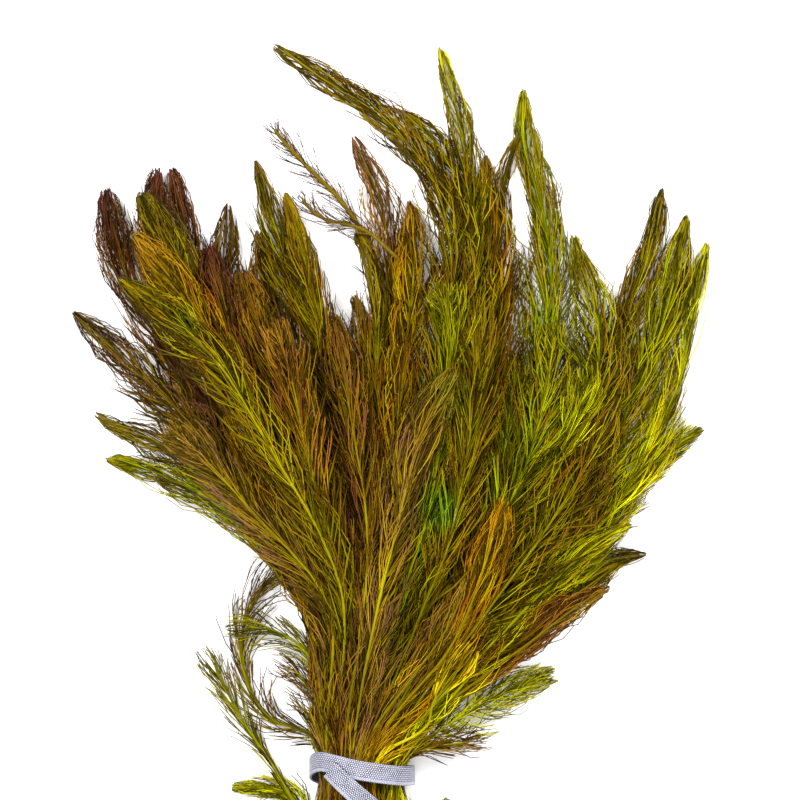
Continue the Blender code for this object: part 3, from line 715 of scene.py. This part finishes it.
def plan_leaves(plume, habit, chance):
    """The places of a stem's whorls, all the leaves, and which of them are on the underside."""
    nodes = node_places(plume, habit, chance)
    each = habit.leaves + (0 if plume.loose else UNDER_LEAVES)
    count = len(nodes) * each
    under = np.tile(np.arange(each) >= habit.leaves, len(nodes))
    foot = np.repeat(nodes, each) + chance.uniform(*FOOT_SHIFT, count)
    phase = np.repeat(chance.uniform(0, 2 * math.pi, len(nodes)), each)
    turn = (phase + np.tile(np.arange(each), len(nodes)) * 2 * math.pi / habit.leaves
            + chance.uniform(*TURN_SHIFT, count))
    turn = np.where(under, -np.abs(turn % (2 * math.pi) - math.pi), turn)
    reach = habit.reach * chance.uniform(*REACHES, count)
    room = foot * (1.0 - habit.ragged * chance.uniform(size=count)) - TIP_ROOM
    share = np.sqrt(chance.uniform(*SHARES, count)) * np.where(under, UNDER_SPREAD, 1.0)
    power = habit.open * chance.uniform(*OPENINGS, count)
    bend = BEND * np.interp(foot, BEND_FROM, BEND_GROWS) * chance.standard_normal(count)
    hook = np.where(under, 0.0, habit.hook)
    leaves = Leaves(foot, np.minimum(reach, room), turn, share, power, hook, bend, None, None,
                    crown_mark(foot))
    if not plume.loose:
        share = narrowed(plume, leaves)
    share = share * np.where(chance.uniform(size=count) < habit.stray, STRAY_SHARE, 1.0)
    tone = np.clip(0.5 + TONE_SPREAD * chance.standard_normal(count), 0.0, 1.0)
    # Painted shade: a random lightness, darker for leaves that stand near the stem inside the
    # plume.
    shade = chance.uniform(size=count) * (INSIDE_PAINTED_SHADE
                                          + (1.0 - INSIDE_PAINTED_SHADE) * np.minimum(share, 1.0))
    return nodes, leaves._replace(share=share, tone=tone, shade=shade), under


# %% Grow the leaves of a stem
FORK_STEPS = (0.0, 0.5, 0.93, 1.0)
COARSE_STEPS = (0.0, 0.45, 1.0)
LEAF_RADIUS = 0.265
FORK_RADIUS = 0.235
BURIED_RADIUS = 0.42
UNDER_RADIUS = 0.62
# Painted shade: buried leaves and under-leaves keep this share of their lightness.
UNDER_PAINTED_SHADE = 0.42
TAPER = 0.3
CROWN_FINER = 0.15
SPLITS = (0.28, 0.5)
SWINGS = (0.15, 0.4)
DRIFTS = (-0.15, 0.15)
LOOSE_SWING = 1.8
FORKED = 0.85
FORKED_TWICE = 0.15
# How the second fork leaves its leaf: farther on, wider and nearer to the stem.
SECOND_ON = 0.2
SECOND_SWING = 1.3
SECOND_DRIFT = 1.5
SECOND_IN = 0.1


def grow_leaves(plume, habit, chance):
    """The leaves of one stem: main threads, the forks that leave them, and the coarse ones."""
    nodes, leaves, under = plan_leaves(plume, habit, chance)
    count = len(leaves.foot)
    split = chance.uniform(*SPLITS, count)
    swing = chance.uniform(*SWINGS, count) * chance.choice([-1.0, 1.0], count)
    swing = swing * (LOOSE_SWING if plume.loose else 1.0)
    drift = chance.uniform(*DRIFTS, count)
    rows, _ = leaf_paths(plume, leaves, LEAF_STEPS)
    deep = buried(rows[:, 1:]).all(axis=1)
    inside = well_inside(rows[:, 1:]).all(axis=1)
    # Buried leaves and under-leaves get painted shade: a darker colour.
    leaves = leaves._replace(shade=np.where(deep | under, UNDER_PAINTED_SHADE, 1.0) * leaves.shade)

    def threads(chosen, steps, radius, start=0.0, swing=0.0, drift=0.0):
        some = Leaves(*(value[chosen] for value in leaves))
        rows, t = leaf_paths(plume, some, steps, start, swing, drift)
        marks = {name: np.repeat(getattr(some, name)[:, None], len(steps), axis=1)
                 for name in ("tone", "shade", "crown")}
        marks.update(along=t, stem=np.zeros_like(t), fresh=fresh_mark(rows))
        finer = habit.thick * (1.0 - CROWN_FINER * some.crown[:, None])
        return Threads(rows, radius * finer * (1.0 - TAPER * t), marks)

    crown_keeps = np.interp(leaves.foot, (0.0, CLOSE_NODES), (habit.crown_share, 1.0))
    kept = chance.uniform(size=count) < crown_keeps
    every = np.flatnonzero(~deep & ~under & kept)
    main = threads(every, LEAF_STEPS, LEAF_RADIUS, 0.0, 0.5 * swing[every], 0.5 * drift[every])
    forked = every[chance.uniform(size=len(every)) < FORKED]
    first = threads(forked, FORK_STEPS, FORK_RADIUS, split[forked], -0.5 * swing[forked],
                    -drift[forked])
    again = forked[chance.uniform(size=len(forked)) < FORKED_TWICE]
    second = threads(again, FORK_STEPS, FORK_RADIUS, split[again] + SECOND_ON,
                     SECOND_SWING * swing[again], SECOND_DRIFT * drift[again] - SECOND_IN)
    coarse = np.flatnonzero(np.where(under, inside, deep))
    thick = np.where(under[coarse], UNDER_RADIUS, BURIED_RADIUS)[:, None]
    filling = threads(coarse, COARSE_STEPS, thick)
    return [kind for kind in (main, first, second, filling) if len(kind.points)], nodes


# %% Grow the stem itself
STEM_RADIUS = 0.5
STEM_SLIM = 0.6
STOUT_STEMS = {"middle_sprig_07": 1.1, "side_shoot": 0.95, "curled_sprig": 0.75, "low_sprig_1": 0.7,
               "low_sprig_2": 0.65, "outer_shoot": 0.75, "front_sprig_5": 0.65}
STEM_SIDES = 6
STEM_STEP = 2.2
STEM_BARE = 4.0
STEM_END = 0.2
STEM_THIN = 60.0
NODE_SWELL = 0.5
NODE_HALF = 0.9
NECK = (25.0, 35.0)
NECK_ENDS = (80.0, 120.0)
NECK_RISE = 0.85
# A stem that isn't held and ends near the strip is drawn out to run in under its neighbours.
ROOT_LENGTH = 9.0
ROOT_ABOVE = -25.0
STEM_TONE = 0.3
STEM_SHADE = 0.42
NECK_SHADE = 0.17
STEM_GREEN = 0.35


def grow_stem(plume, habit, nodes, radius):
    """One thicker thread through the plume, swollen at each node."""
    top = max(habit.bare_tip * 0.5, habit.bare_tip - STEM_BARE)
    places = np.linspace(plume.length - STEM_END, top, int((plume.length - top) / STEM_STEP))
    turns = np.full(len(places), math.pi / 2)
    level = np.interp(places, plume.along, plume.middle[:, 1])
    neck = (np.clip((level - NECK[0]) / (NECK[1] - NECK[0]), 0.0, 1.0)
            * np.clip((NECK_ENDS[1] - level) / (NECK_ENDS[1] - NECK_ENDS[0]), 0.0, 1.0))
    neck = 0.0 * neck if plume.loose else neck
    rise = np.maximum(RISE * plume.bright * plume.lift(places), NECK_RISE * neck)
    rows = plume.points(places, turns, np.zeros(len(places)), rise)
    rows[:, 2] = np.maximum(rows[:, 2], radius * (1.0 + NODE_SWELL))
    if not plume.held and plume.middle[-1, 1] > ROOT_ABOVE:
        run = rows[0] - rows[1]
        rows = np.concatenate([[rows[0] + run * ROOT_LENGTH / np.linalg.norm(run)], rows])
        places, neck = (np.concatenate([values[:1], values]) for values in (places, neck))
    gap = np.abs(places[:, None] - nodes[None]).min(axis=1)
    radii = radius * (STEM_SLIM + (1.0 - STEM_SLIM) * np.clip(places / STEM_THIN, 0.0, 1.0))
    radii = radii * (1.0 + NODE_SWELL * np.exp(-(gap / NODE_HALF) ** 2))
    yellow = np.ones(len(places)) if plume.loose else plume.lift(places) * plume.bright
    marks = {"along": np.zeros(len(places)), "tone": np.full(len(places), STEM_TONE),
             "shade": STEM_SHADE - NECK_SHADE * neck * (1.0 - yellow),
             "crown": crown_mark(places), "stem": STEM_GREEN + (1.0 - STEM_GREEN) * yellow,
             "fresh": np.zeros(len(places))}
    return Threads(rows[None], radii[None], {name: value[None] for name, value in marks.items()})


# %% [markdown]
# ## Colour of the leaves
#
# Hornwort is yellow-green where it grows in the shade, and turns olive, brown and wine red where
# the light is strong. Neighbouring leaves differ, and a leaf is ripest at its end. Each thread
# carries marks: how far along its leaf a place is, how high up the stem the leaf stands, a tone and
# a shade. The shade is a lightness of its own with painted shade on top: leaves near the stem and
# the coarse leaves deep in the heap and under it are painted darker. A few small tufts are young
# and deep green, and a mark says where they are.
# One node group turns the marks into a colour for every plume.

# %% Build the leaf colour group
MARKS = ("Along", "Tone", "Shade", "Crown", "Stem", "Fresh")
TINTS = ("Young", "Grown", "Ripe", "Crown Colour", "Stem Colour")
FRESH_GREEN = (0.075, 0.175, 0.004, 1.0)
NODES_IN_ROW = 6
NODE_APART = 260


def add_node(tree, kind, inputs=None, **settings):
    """A node with its settings, and with its inputs linked or given their values."""
    node = tree.nodes.new(kind)
    row, column = divmod(len(tree.nodes), NODES_IN_ROW)
    node.location = (NODE_APART * column, -NODE_APART * row)
    for name, value in settings.items():
        setattr(node, name, value)
    fill_inputs(tree, node, inputs or {})
    return node


def mix_colour(tree, factor, first, second, blend="MIX"):
    return add_node(tree, "ShaderNodeMix", {0: factor, 6: first, 7: second},
                    data_type="RGBA", blend_type=blend).outputs[2]


def map_range(tree, value, low, high, to_low=0.0, to_high=1.0):
    return add_node(tree, "ShaderNodeMapRange",
                    {"Value": value, "From Min": low, "From Max": high, "To Min": to_low,
                     "To Max": to_high}, interpolation_type="SMOOTHSTEP").outputs["Result"]


def noise(tree, **inputs):
    return add_node(tree, "ShaderNodeTexNoise", inputs).outputs["Fac"]


def bumps(tree, height, strength, depth):
    """The normal of a surface that a height raises by up to so many millimetres."""
    return add_node(tree, "ShaderNodeBump", {"Strength": strength, "Distance": depth * MM,
                                             "Height": height}).outputs["Normal"]


def sum_of(tree, *terms):
    """A sum of sockets, each times a number."""
    total = 0.0
    for socket, factor in terms:
        total = add_node(tree, "ShaderNodeMath", {0: socket, 1: factor, 2: total},
                         operation="MULTIPLY_ADD").outputs[0]
    return total


def new_group(name, inputs, outputs):
    """A node group with named inputs and outputs of each kind, and its two end nodes' sockets."""
    group = bpy.data.node_groups.new(name, "ShaderNodeTree")
    for way, kinds in (("INPUT", inputs), ("OUTPUT", outputs)):
        for kind, sockets in kinds.items():
            for socket in sockets:
                group.interface.new_socket(socket, in_out=way, socket_type="NodeSocket" + kind)
    given = add_node(group, "NodeGroupInput").outputs
    return group, given, add_node(group, "NodeGroupOutput")


def build_leaf_colour():
    group, given, result = new_group(
        "leaf_colour", {"Color": TINTS, "Float": MARKS},
        {"Color": ["Color"], "Float": ["Roughness", "Wetness", "Height"]})
    coords = add_node(group, "ShaderNodeTexCoord").outputs["Object"]
    patches = noise(group, Vector=coords, Scale=60.0, Detail=3.0)
    fine = noise(group, Vector=coords, Scale=700.0, Detail=2.0)
    ripeness = sum_of(group, (given["Along"], 0.75), (given["Tone"], 1.0), (patches, 0.9))
    leaf = given["Young"]
    for low, high, riper in ((0.85, 1.35, "Grown"), (1.4, 1.95, "Ripe")):
        leaf = mix_colour(group, map_range(group, ripeness, low, high), leaf, given[riper])
    crown = map_range(group, given["Crown"], 0.3, 0.85, 0.0, 0.85)
    leaf = mix_colour(group, crown, leaf, given["Crown Colour"])
    fresh = sum_of(group, (given["Fresh"], 0.8))
    leaf = mix_colour(group, fresh, leaf, FRESH_GREEN)
    colour = mix_colour(group, given["Stem"], leaf, given["Stem Colour"])
    # The shade mark sets the lightness: random, with painted shade on inner, buried and
    # under-leaves.
    light = map_range(group, given["Shade"], 0.0, 0.9, 0.21, 2.06)
    tip = map_range(group, given["Crown"], 0.80, 0.93, 1.0, 0.8)
    darker = add_node(group, "ShaderNodeMath", {0: light, 1: tip}, operation="MULTIPLY").outputs[0]
    grey = add_node(group, "ShaderNodeCombineColor", dict.fromkeys(range(3), darker)).outputs[0]
    fill_inputs(group, result, {
        "Color": mix_colour(group, 1.0, colour, grey, blend="MULTIPLY"),
        "Roughness": map_range(group, fine, 0.3, 0.7, 0.35, 0.6),
        "Wetness": map_range(group, fine, 0.60, 0.68, 0.0, 0.6),
        "Height": fine})
    return group


leaf_colour = build_leaf_colour()
print("sockets of the leaf colour group:", len(leaf_colour.interface.items_tree))

# %% Mix the finishes of the plumes
# Young, grown, ripe, crown and stem colour: red, green and blue in thousandths.
PALETTES = {
    "wine": ((160, 95, 2), (130, 45, 6), (95, 24, 14), (68, 17, 11), (200, 150, 3)),
    "brown": ((195, 125, 1), (170, 80, 3), (120, 38, 15), (120, 55, 4), (240, 200, 3)),
    "tan": ((250, 180, 1), (210, 120, 8), (170, 75, 30), (240, 140, 10), (300, 250, 3)),
    "amber": ((250, 185, 1), (240, 130, 1), (180, 55, 3), (230, 122, 6), (300, 250, 3)),
    "rust": ((240, 165, 2), (215, 100, 3), (150, 46, 12), (190, 88, 8), (260, 220, 3)),
    "plum": ((200, 130, 2), (175, 75, 6), (115, 35, 18), (80, 30, 14), (220, 170, 3)),
    "olive": ((210, 180, 1), (180, 122, 1), (130, 48, 3), (155, 110, 2), (240, 210, 2)),
    "dusk": ((210, 190, 1), (175, 130, 1), (130, 60, 3), (48, 26, 6), (230, 210, 2)),
    "green": ((220, 270, 1), (210, 190, 1), (160, 85, 2), (210, 190, 2), (240, 250, 2)),
    "lime": ((400, 440, 1), (370, 345, 1), (220, 135, 2), (270, 260, 3), (230, 200, 4)),
    "fresh": ((290, 330, 1), (270, 245, 1), (190, 110, 2), (250, 225, 2), (240, 240, 2)),
    "reed": ((230, 245, 1), (210, 185, 1), (160, 85, 2), (145, 120, 2), (240, 240, 2)),
    "sedge": ((185, 155, 2), (155, 105, 2), (110, 42, 4), (112, 80, 3), (220, 190, 3)),
    "gold": ((310, 220, 1), (310, 165, 1), (240, 80, 2), (360, 190, 3), (300, 250, 3)),
    "yellow": ((500, 420, 2), (460, 340, 2), (340, 200, 3), (400, 280, 3), (340, 290, 4)),
    "glow": ((240, 240, 1), (190, 140, 1), (140, 60, 3), (420, 390, 6), (240, 220, 2)),
    "umber": ((170, 115, 2), (130, 65, 4), (80, 28, 12), (60, 36, 8), (220, 190, 3)),
    "bare": ((120, 70, 8), (90, 35, 12), (60, 18, 18), (70, 25, 15), (130, 85, 4)),
    "shoot": ((300, 320, 2), (170, 150, 2), (55, 30, 6), (170, 140, 2), (180, 190, 3)),
    "thorn": ((180, 160, 2), (130, 70, 3), (55, 22, 6), (110, 45, 5), (130, 125, 3)),
    "ember": ((250, 210, 1), (220, 120, 2), (130, 45, 4), (120, 50, 5), (260, 220, 3)),
}
BUMP = 0.15
BUMP_DEPTH = 0.1
SOFT_GLOSS = 0.08
GLOSS_TINT = (1.0, 0.75, 0.12, 1.0)
WET_ROUGHNESS = 0.12


def leaf_finish(name, palette):
    """A wet leaf finish with a palette's colours."""
    material, tree, shader = new_finish(name)
    inputs = {tint: (*(part / 1000 for part in colour), 1.0)
              for tint, colour in zip(TINTS, palette)}
    for mark in MARKS:
        inputs[mark] = add_node(tree, "ShaderNodeAttribute",
                                attribute_name=mark.lower()).outputs["Fac"]
    colours = add_node(tree, "ShaderNodeGroup", inputs, node_tree=leaf_colour).outputs
    fill_inputs(tree, shader, {
        "Base Color": colours["Color"], "Roughness": colours["Roughness"],
        "Coat Weight": colours["Wetness"], "Coat Roughness": WET_ROUGHNESS,
        "Specular IOR Level": SOFT_GLOSS, "Specular Tint": GLOSS_TINT,
        "Normal": bumps(tree, colours["Height"], BUMP, BUMP_DEPTH)})
    return material


finishes = {name: leaf_finish("leaves_" + name, palette) for name, palette in PALETTES.items()}
print("finishes", sorted(finishes))

# %% [markdown]
# ## Dressing each plume
#
# The list says, for every stem, which colours and which habit the photograph shows. A stem that
# shows bright in the middle of its plume is lifted towards the upper side of the form. The stems in
# the strip were cut by hand, so their lower ends are a little uneven.

# %% List the plumes
# Palette and habit of each stem, in the order of their numbers.
LOOKS = {
    "left_sprig_{:02}": "umber slit, sedge slit, green tail, wine brush, wine brush, wine brush, "
                        "sedge brush, amber brush, olive tail, umber slit, dusk blade, "
                        "olive blade, brown brush, wine brush, brown brush, tan burst, rust burst",
    "middle_sprig_{:02}": "sedge slit, olive slit, glow slit, amber dense, green dense, "
                          "sedge dense, bare sparse, plum slit, olive tail, brown tail, "
                          "fresh burst, amber tail, green burst, olive burst",
    "right_sprig_{:02}": "reed tail, dusk dense, reed dense, lime dense, lime burst, dusk tail, "
                         "olive tail, rust tail, lime bush, lime burst, green burst, olive tail, "
                         "lime dense, ember fan",
    "front_sprig_{}": "brown brush, tan brush, gold brush, tan brush, yellow spray",
    "low_sprig_{}": "shoot fan, thorn fan",
    "lower_tuft_{}": "lime spiky, lime spiky, green spiky",
    "curled_sprig": "thorn fan",
    "side_shoot": "bare sparse",
    "outer_shoot": "shoot fan",
}
PLUMES = {pattern.format(number): look.split() for pattern, looks in LOOKS.items()
          for number, look in enumerate(looks.split(", "), 1)}
BRIGHT_STEMS = ("left_sprig_09", "left_sprig_16", "left_sprig_17", "front_sprig_1", "front_sprig_2",
                "front_sprig_5")
SEED = 20
CUT_UNEVEN = 6.0
print("listed", len(PLUMES), "missing", sorted(set(forms) - set(PLUMES)))


# %% Make the plumes
def make_piece(name, nets, finish):
    """One mesh from several nets, with the marks that its colours read."""
    shift = np.cumsum([0] + [len(net[0]) for net in nets[:-1]])
    corners = np.concatenate([net[0] for net in nets])
    faces = np.concatenate([net[1] + start for net, start in zip(nets, shift)])
    mesh = bpy.data.meshes.new(name)
    mesh.from_pydata(corners * MM, [], faces, shade_flat=False)
    for mark in nets[0][2]:
        values = np.concatenate([net[2][mark] for net in nets]).astype(np.float32)
        mesh.attributes.new(mark, "FLOAT", "POINT").data.foreach_set("value", values)
    mesh.materials.append(finish)
    return put_in_scene(name, mesh)


def dress_plume(name, number):
    palette, habit_name = PLUMES[name]
    habit = HABITS[habit_name]
    chance = np.random.default_rng(SEED + number)
    spread = LOOSE.get(name, WIDER.get(name, habit.spread))
    plume = Plume(forms[name], spread, habit.blunt, name in BRIGHT_STEMS, name in LOOSE)
    if plume.held:
        plume.length -= chance.uniform(0.0, CUT_UNEVEN)
    leaves, nodes = grow_leaves(plume, habit, chance)
    stem = grow_stem(plume, habit, nodes, STOUT_STEMS.get(name, STEM_RADIUS))
    nets = [weave(kind) for kind in leaves] + [weave(stem, STEM_SIDES)]
    piece = make_piece(name + "_leaves", nets, finishes[palette])
    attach(piece, "root")
    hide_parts(name)
    return len(piece.data.polygons)


total = sum(dress_plume(name, number) for number, name in enumerate(sorted(forms)))
print("triangles in all plumes", total)

# %% [markdown]
# ## The metal strip
#
# The strip's solid is a flat bar bent round the bunch. Its rings also have six corners: three on
# the outer side and three on the inner one. A walk from each end finds them, because a walk is only
# sure of its rings a few steps on. A fine grid is then wrapped round the bar's section and laid on
# the six lines that run through the rings.

# %% Read the lines of the strip
STRIP_WIDTH = 8.0
STRIP_THICK = 1.0
RING_APART = 1.0
LAST_STEPS = 3


def sorted_ring(ring, heart, side):
    """A ring's corners as left, middle and right on the outer side, then on the inner one."""
    middle = ring.mean(axis=0)
    across = np.linalg.svd(ring - middle)[2][0]
    across *= 1.0 if side is None or across @ side > 0.0 else -1.0
    pairs = ring[np.argsort((ring - middle) @ across)].reshape(3, 2, 3)
    outward = middle - heart
    order = [sorted(pair, key=lambda corner: -(corner @ outward)) for pair in pairs]
    return np.array([pair[0] for pair in order] + [pair[1] for pair in order]), across


def read_strip(node):
    """The six lines of the strip, and the length from its upper end at each ring."""
    points, beside = merged_net(node)
    one_end = steps_from(0, beside).argmax()
    other_end = steps_from(one_end, beside).argmax()
    top, foot = sorted((one_end, other_end), key=lambda corner: -points[corner][2])
    from_top, from_foot = steps_from(top, beside), steps_from(foot, beside)
    half = from_top.max() // 2
    rings = [points[from_foot == step] for step in range(from_foot.max(), half, -1)]
    rings += [points[from_top == step] for step in range(half + 1, from_top.max())]
    rings = [ring for ring in rings if len(ring) == RING_CORNERS]
    rest = points[from_top > from_top.max() - LAST_STEPS]
    rest = rest[np.argsort(np.linalg.norm(rest - rings[-1].mean(axis=0), axis=1))]
    lines, side = [], None
    for ring in rings + [rest[:RING_CORNERS], rest[-RING_CORNERS:]]:
        middle = ring.mean(axis=0)
        heart = np.array((0.0, middle[1], (tie_low[2] + tie_high[2]) / 2))
        placed, side = sorted_ring(ring, heart, side)
        if not lines or np.linalg.norm(middle - lines[-1].mean(axis=0)) > RING_APART:
            lines.append(placed)
    lines = np.array(lines)
    return lines, lengths_along(lines.mean(axis=1))


strip_lines, strip_along = read_strip(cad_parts["tie"])
print("strip", len(strip_lines), "rings,", round(strip_along[-1]), "mm long")

# %% Wrap a grid round the strip
STRIP_CELL = 0.55
STRIP_MERGE = 0.02
FLAT = STRIP_WIDTH - STRIP_THICK
ROUND_EDGE = math.pi * STRIP_THICK / 2
STRIP_GIRTH = 2 * (FLAT + ROUND_EDGE)


def round_section(girth):
    """Where a length round the section lies: across the strip, and how deep below its face."""
    half = FLAT / 2
    lower = girth >= FLAT + ROUND_EDGE
    girth = np.where(lower, girth - FLAT - ROUND_EDGE, girth)
    turn = np.clip((girth - FLAT) / ROUND_EDGE, 0.0, 1.0) * math.pi
    across = np.minimum(girth, FLAT) - half + np.sin(turn) * STRIP_THICK / 2
    depth = STRIP_THICK * (1.0 - np.cos(turn)) / 2
    return np.where(lower, -across, across), np.where(lower, STRIP_THICK - depth, depth)


def strip_points(along, girth):
    """Points of the strip's surface."""
    lines = smooth_line(strip_lines.reshape(len(strip_lines), -1), strip_along, along)
    lines = lines.reshape(-1, 2, 3, 3)
    across, depth = round_section(girth)
    share = (across / (STRIP_WIDTH / 2))[:, None]
    sides = []
    for face in range(2):
        left, middle, right = (lines[:, face, place] for place in range(3))
        sides.append(middle + share * (right - left) / 2 + share**2 * ((left + right) / 2 - middle))
    points = sides[0] + (sides[1] - sides[0]) * (depth / STRIP_THICK)[:, None]
    points[:, 2] = np.maximum(points[:, 2], 0.0)
    return points


def make_strip(finish):
    """The strip, closed at both cut ends, with a map whose sides run along and round it."""
    shape = bmesh.new()
    shape.loops.layers.uv.new("round_strip")
    bmesh.ops.create_grid(shape, x_segments=round(strip_along[-1] / STRIP_CELL),
                          y_segments=round(STRIP_GIRTH / STRIP_CELL), size=0.5, calc_uvs=True)
    grid = np.array([corner.co for corner in shape.verts]) + 0.5
    places = strip_points(grid[:, 0] * strip_along[-1], grid[:, 1] * STRIP_GIRTH)
    for corner, place in zip(shape.verts, places * MM):
        corner.co = place
    bmesh.ops.remove_doubles(shape, verts=shape.verts[:], dist=STRIP_MERGE * MM)
    bmesh.ops.holes_fill(shape, edges=[edge for edge in shape.edges if edge.is_boundary])
    bmesh.ops.recalc_face_normals(shape, faces=shape.faces[:])
    strip = piece_of(shape, "metal_strip", finish)
    strip.data.shade_smooth()
    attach(strip, "root")
    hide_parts("tie")
    return strip


# %% [markdown]
# The strip is stamped with small dimples in rows that stand between each other. Two lattices, one
# shifted by half a step, give the distance to the nearest of the dimples, and that distance gives
# the colour and the height, while a wear noise gives the roughness. The colour is painted light: a
# painted highlight where each of the dimples is raised, and painted shade between them.

# %% Stamp the dimples
DIMPLE_PITCH = 0.93
DIMPLE_ROWS = DIMPLE_PITCH * math.sqrt(3.0)
PLAIN_EDGE = (0.8, 1.0)
# Painted light on the strip: a painted highlight on each raised dimple, painted shade between them.
DIMPLE_PAINTED_HIGHLIGHT = (0.70, 0.70, 0.77, 1.0)
PAINTED_SHADE_BETWEEN_DIMPLES = (0.06, 0.065, 0.11, 1.0)
METAL_PLAIN = (0.42, 0.42, 0.52, 1.0)
METALLIC = 0.6
DIMPLE_BUMP = 0.6
DIMPLE_DEPTH = 0.15


def vector_step(tree, operation, *inputs):
    node = add_node(tree, "ShaderNodeVectorMath", dict(enumerate(inputs)), operation=operation)
    return node.outputs["Value" if operation == "LENGTH" else "Vector"]


def build_dimples():
    group, given, result = new_group("dimples", {"Vector": ["Vector"]},
                                     {"Color": ["Color"], "Float": ["Roughness", "Height"]})
    lengths = vector_step(group, "MULTIPLY", given["Vector"], (strip_along[-1], STRIP_GIRTH, 0.0))
    distances = []
    for shift in (0.0, 0.5):
        cells = lengths
        for operation, *second in (("MULTIPLY", (1.0 / DIMPLE_PITCH, 1.0 / DIMPLE_ROWS, 0.0)),
                                   ("ADD", (shift, shift, 0.0)), ("FRACTION",),
                                   ("SUBTRACT", (0.5, 0.5, 0.0)),
                                   ("MULTIPLY", (DIMPLE_PITCH, DIMPLE_ROWS, 0.0)), ("LENGTH",)):
            cells = vector_step(group, operation, cells, *second)
        distances.append(cells)
    nearest = add_node(group, "ShaderNodeMath", dict(enumerate(distances)), operation="MINIMUM")
    coords = add_node(group, "ShaderNodeTexCoord").outputs["Object"]
    wear = noise(group, Vector=coords, Scale=250.0)
    split = add_node(group, "ShaderNodeSeparateXYZ", {0: lengths}).outputs
    face = map_range(group, split["Y"], *PLAIN_EDGE)
    raised = map_range(group, nearest.outputs[0], 0.10, 0.40, 1.0, 0.0)
    # Painted highlight on the raised dimples, painted shade between them.
    dimple_highlight_and_shade = mix_colour(group, raised, PAINTED_SHADE_BETWEEN_DIMPLES, DIMPLE_PAINTED_HIGHLIGHT)
    colour = mix_colour(group, face, METAL_PLAIN, dimple_highlight_and_shade)
    worn = map_range(group, wear, 0.35, 0.7, 0.0, 0.35)
    fill_inputs(group, result, {
        "Color": mix_colour(group, worn, colour, METAL_PLAIN),
        "Roughness": map_range(group, wear, 0.3, 0.7, 0.32, 0.55),
        "Height": raised})
    return group


def metal_finish():
    material, tree, shader = new_finish("dimpled_metal")
    strip_map = add_node(tree, "ShaderNodeUVMap", uv_map="round_strip").outputs["UV"]
    dimples = add_node(tree, "ShaderNodeGroup", {"Vector": strip_map},
                       node_tree=build_dimples()).outputs
    fill_inputs(tree, shader, {
        "Base Color": dimples["Color"], "Roughness": dimples["Roughness"], "Metallic": METALLIC,
        "Normal": bumps(tree, dimples["Height"], DIMPLE_BUMP, DIMPLE_DEPTH)})
    return material


metal_strip = make_strip(metal_finish())
print("triangles of the strip", sum(len(face.vertices) - 2 for face in metal_strip.data.polygons))
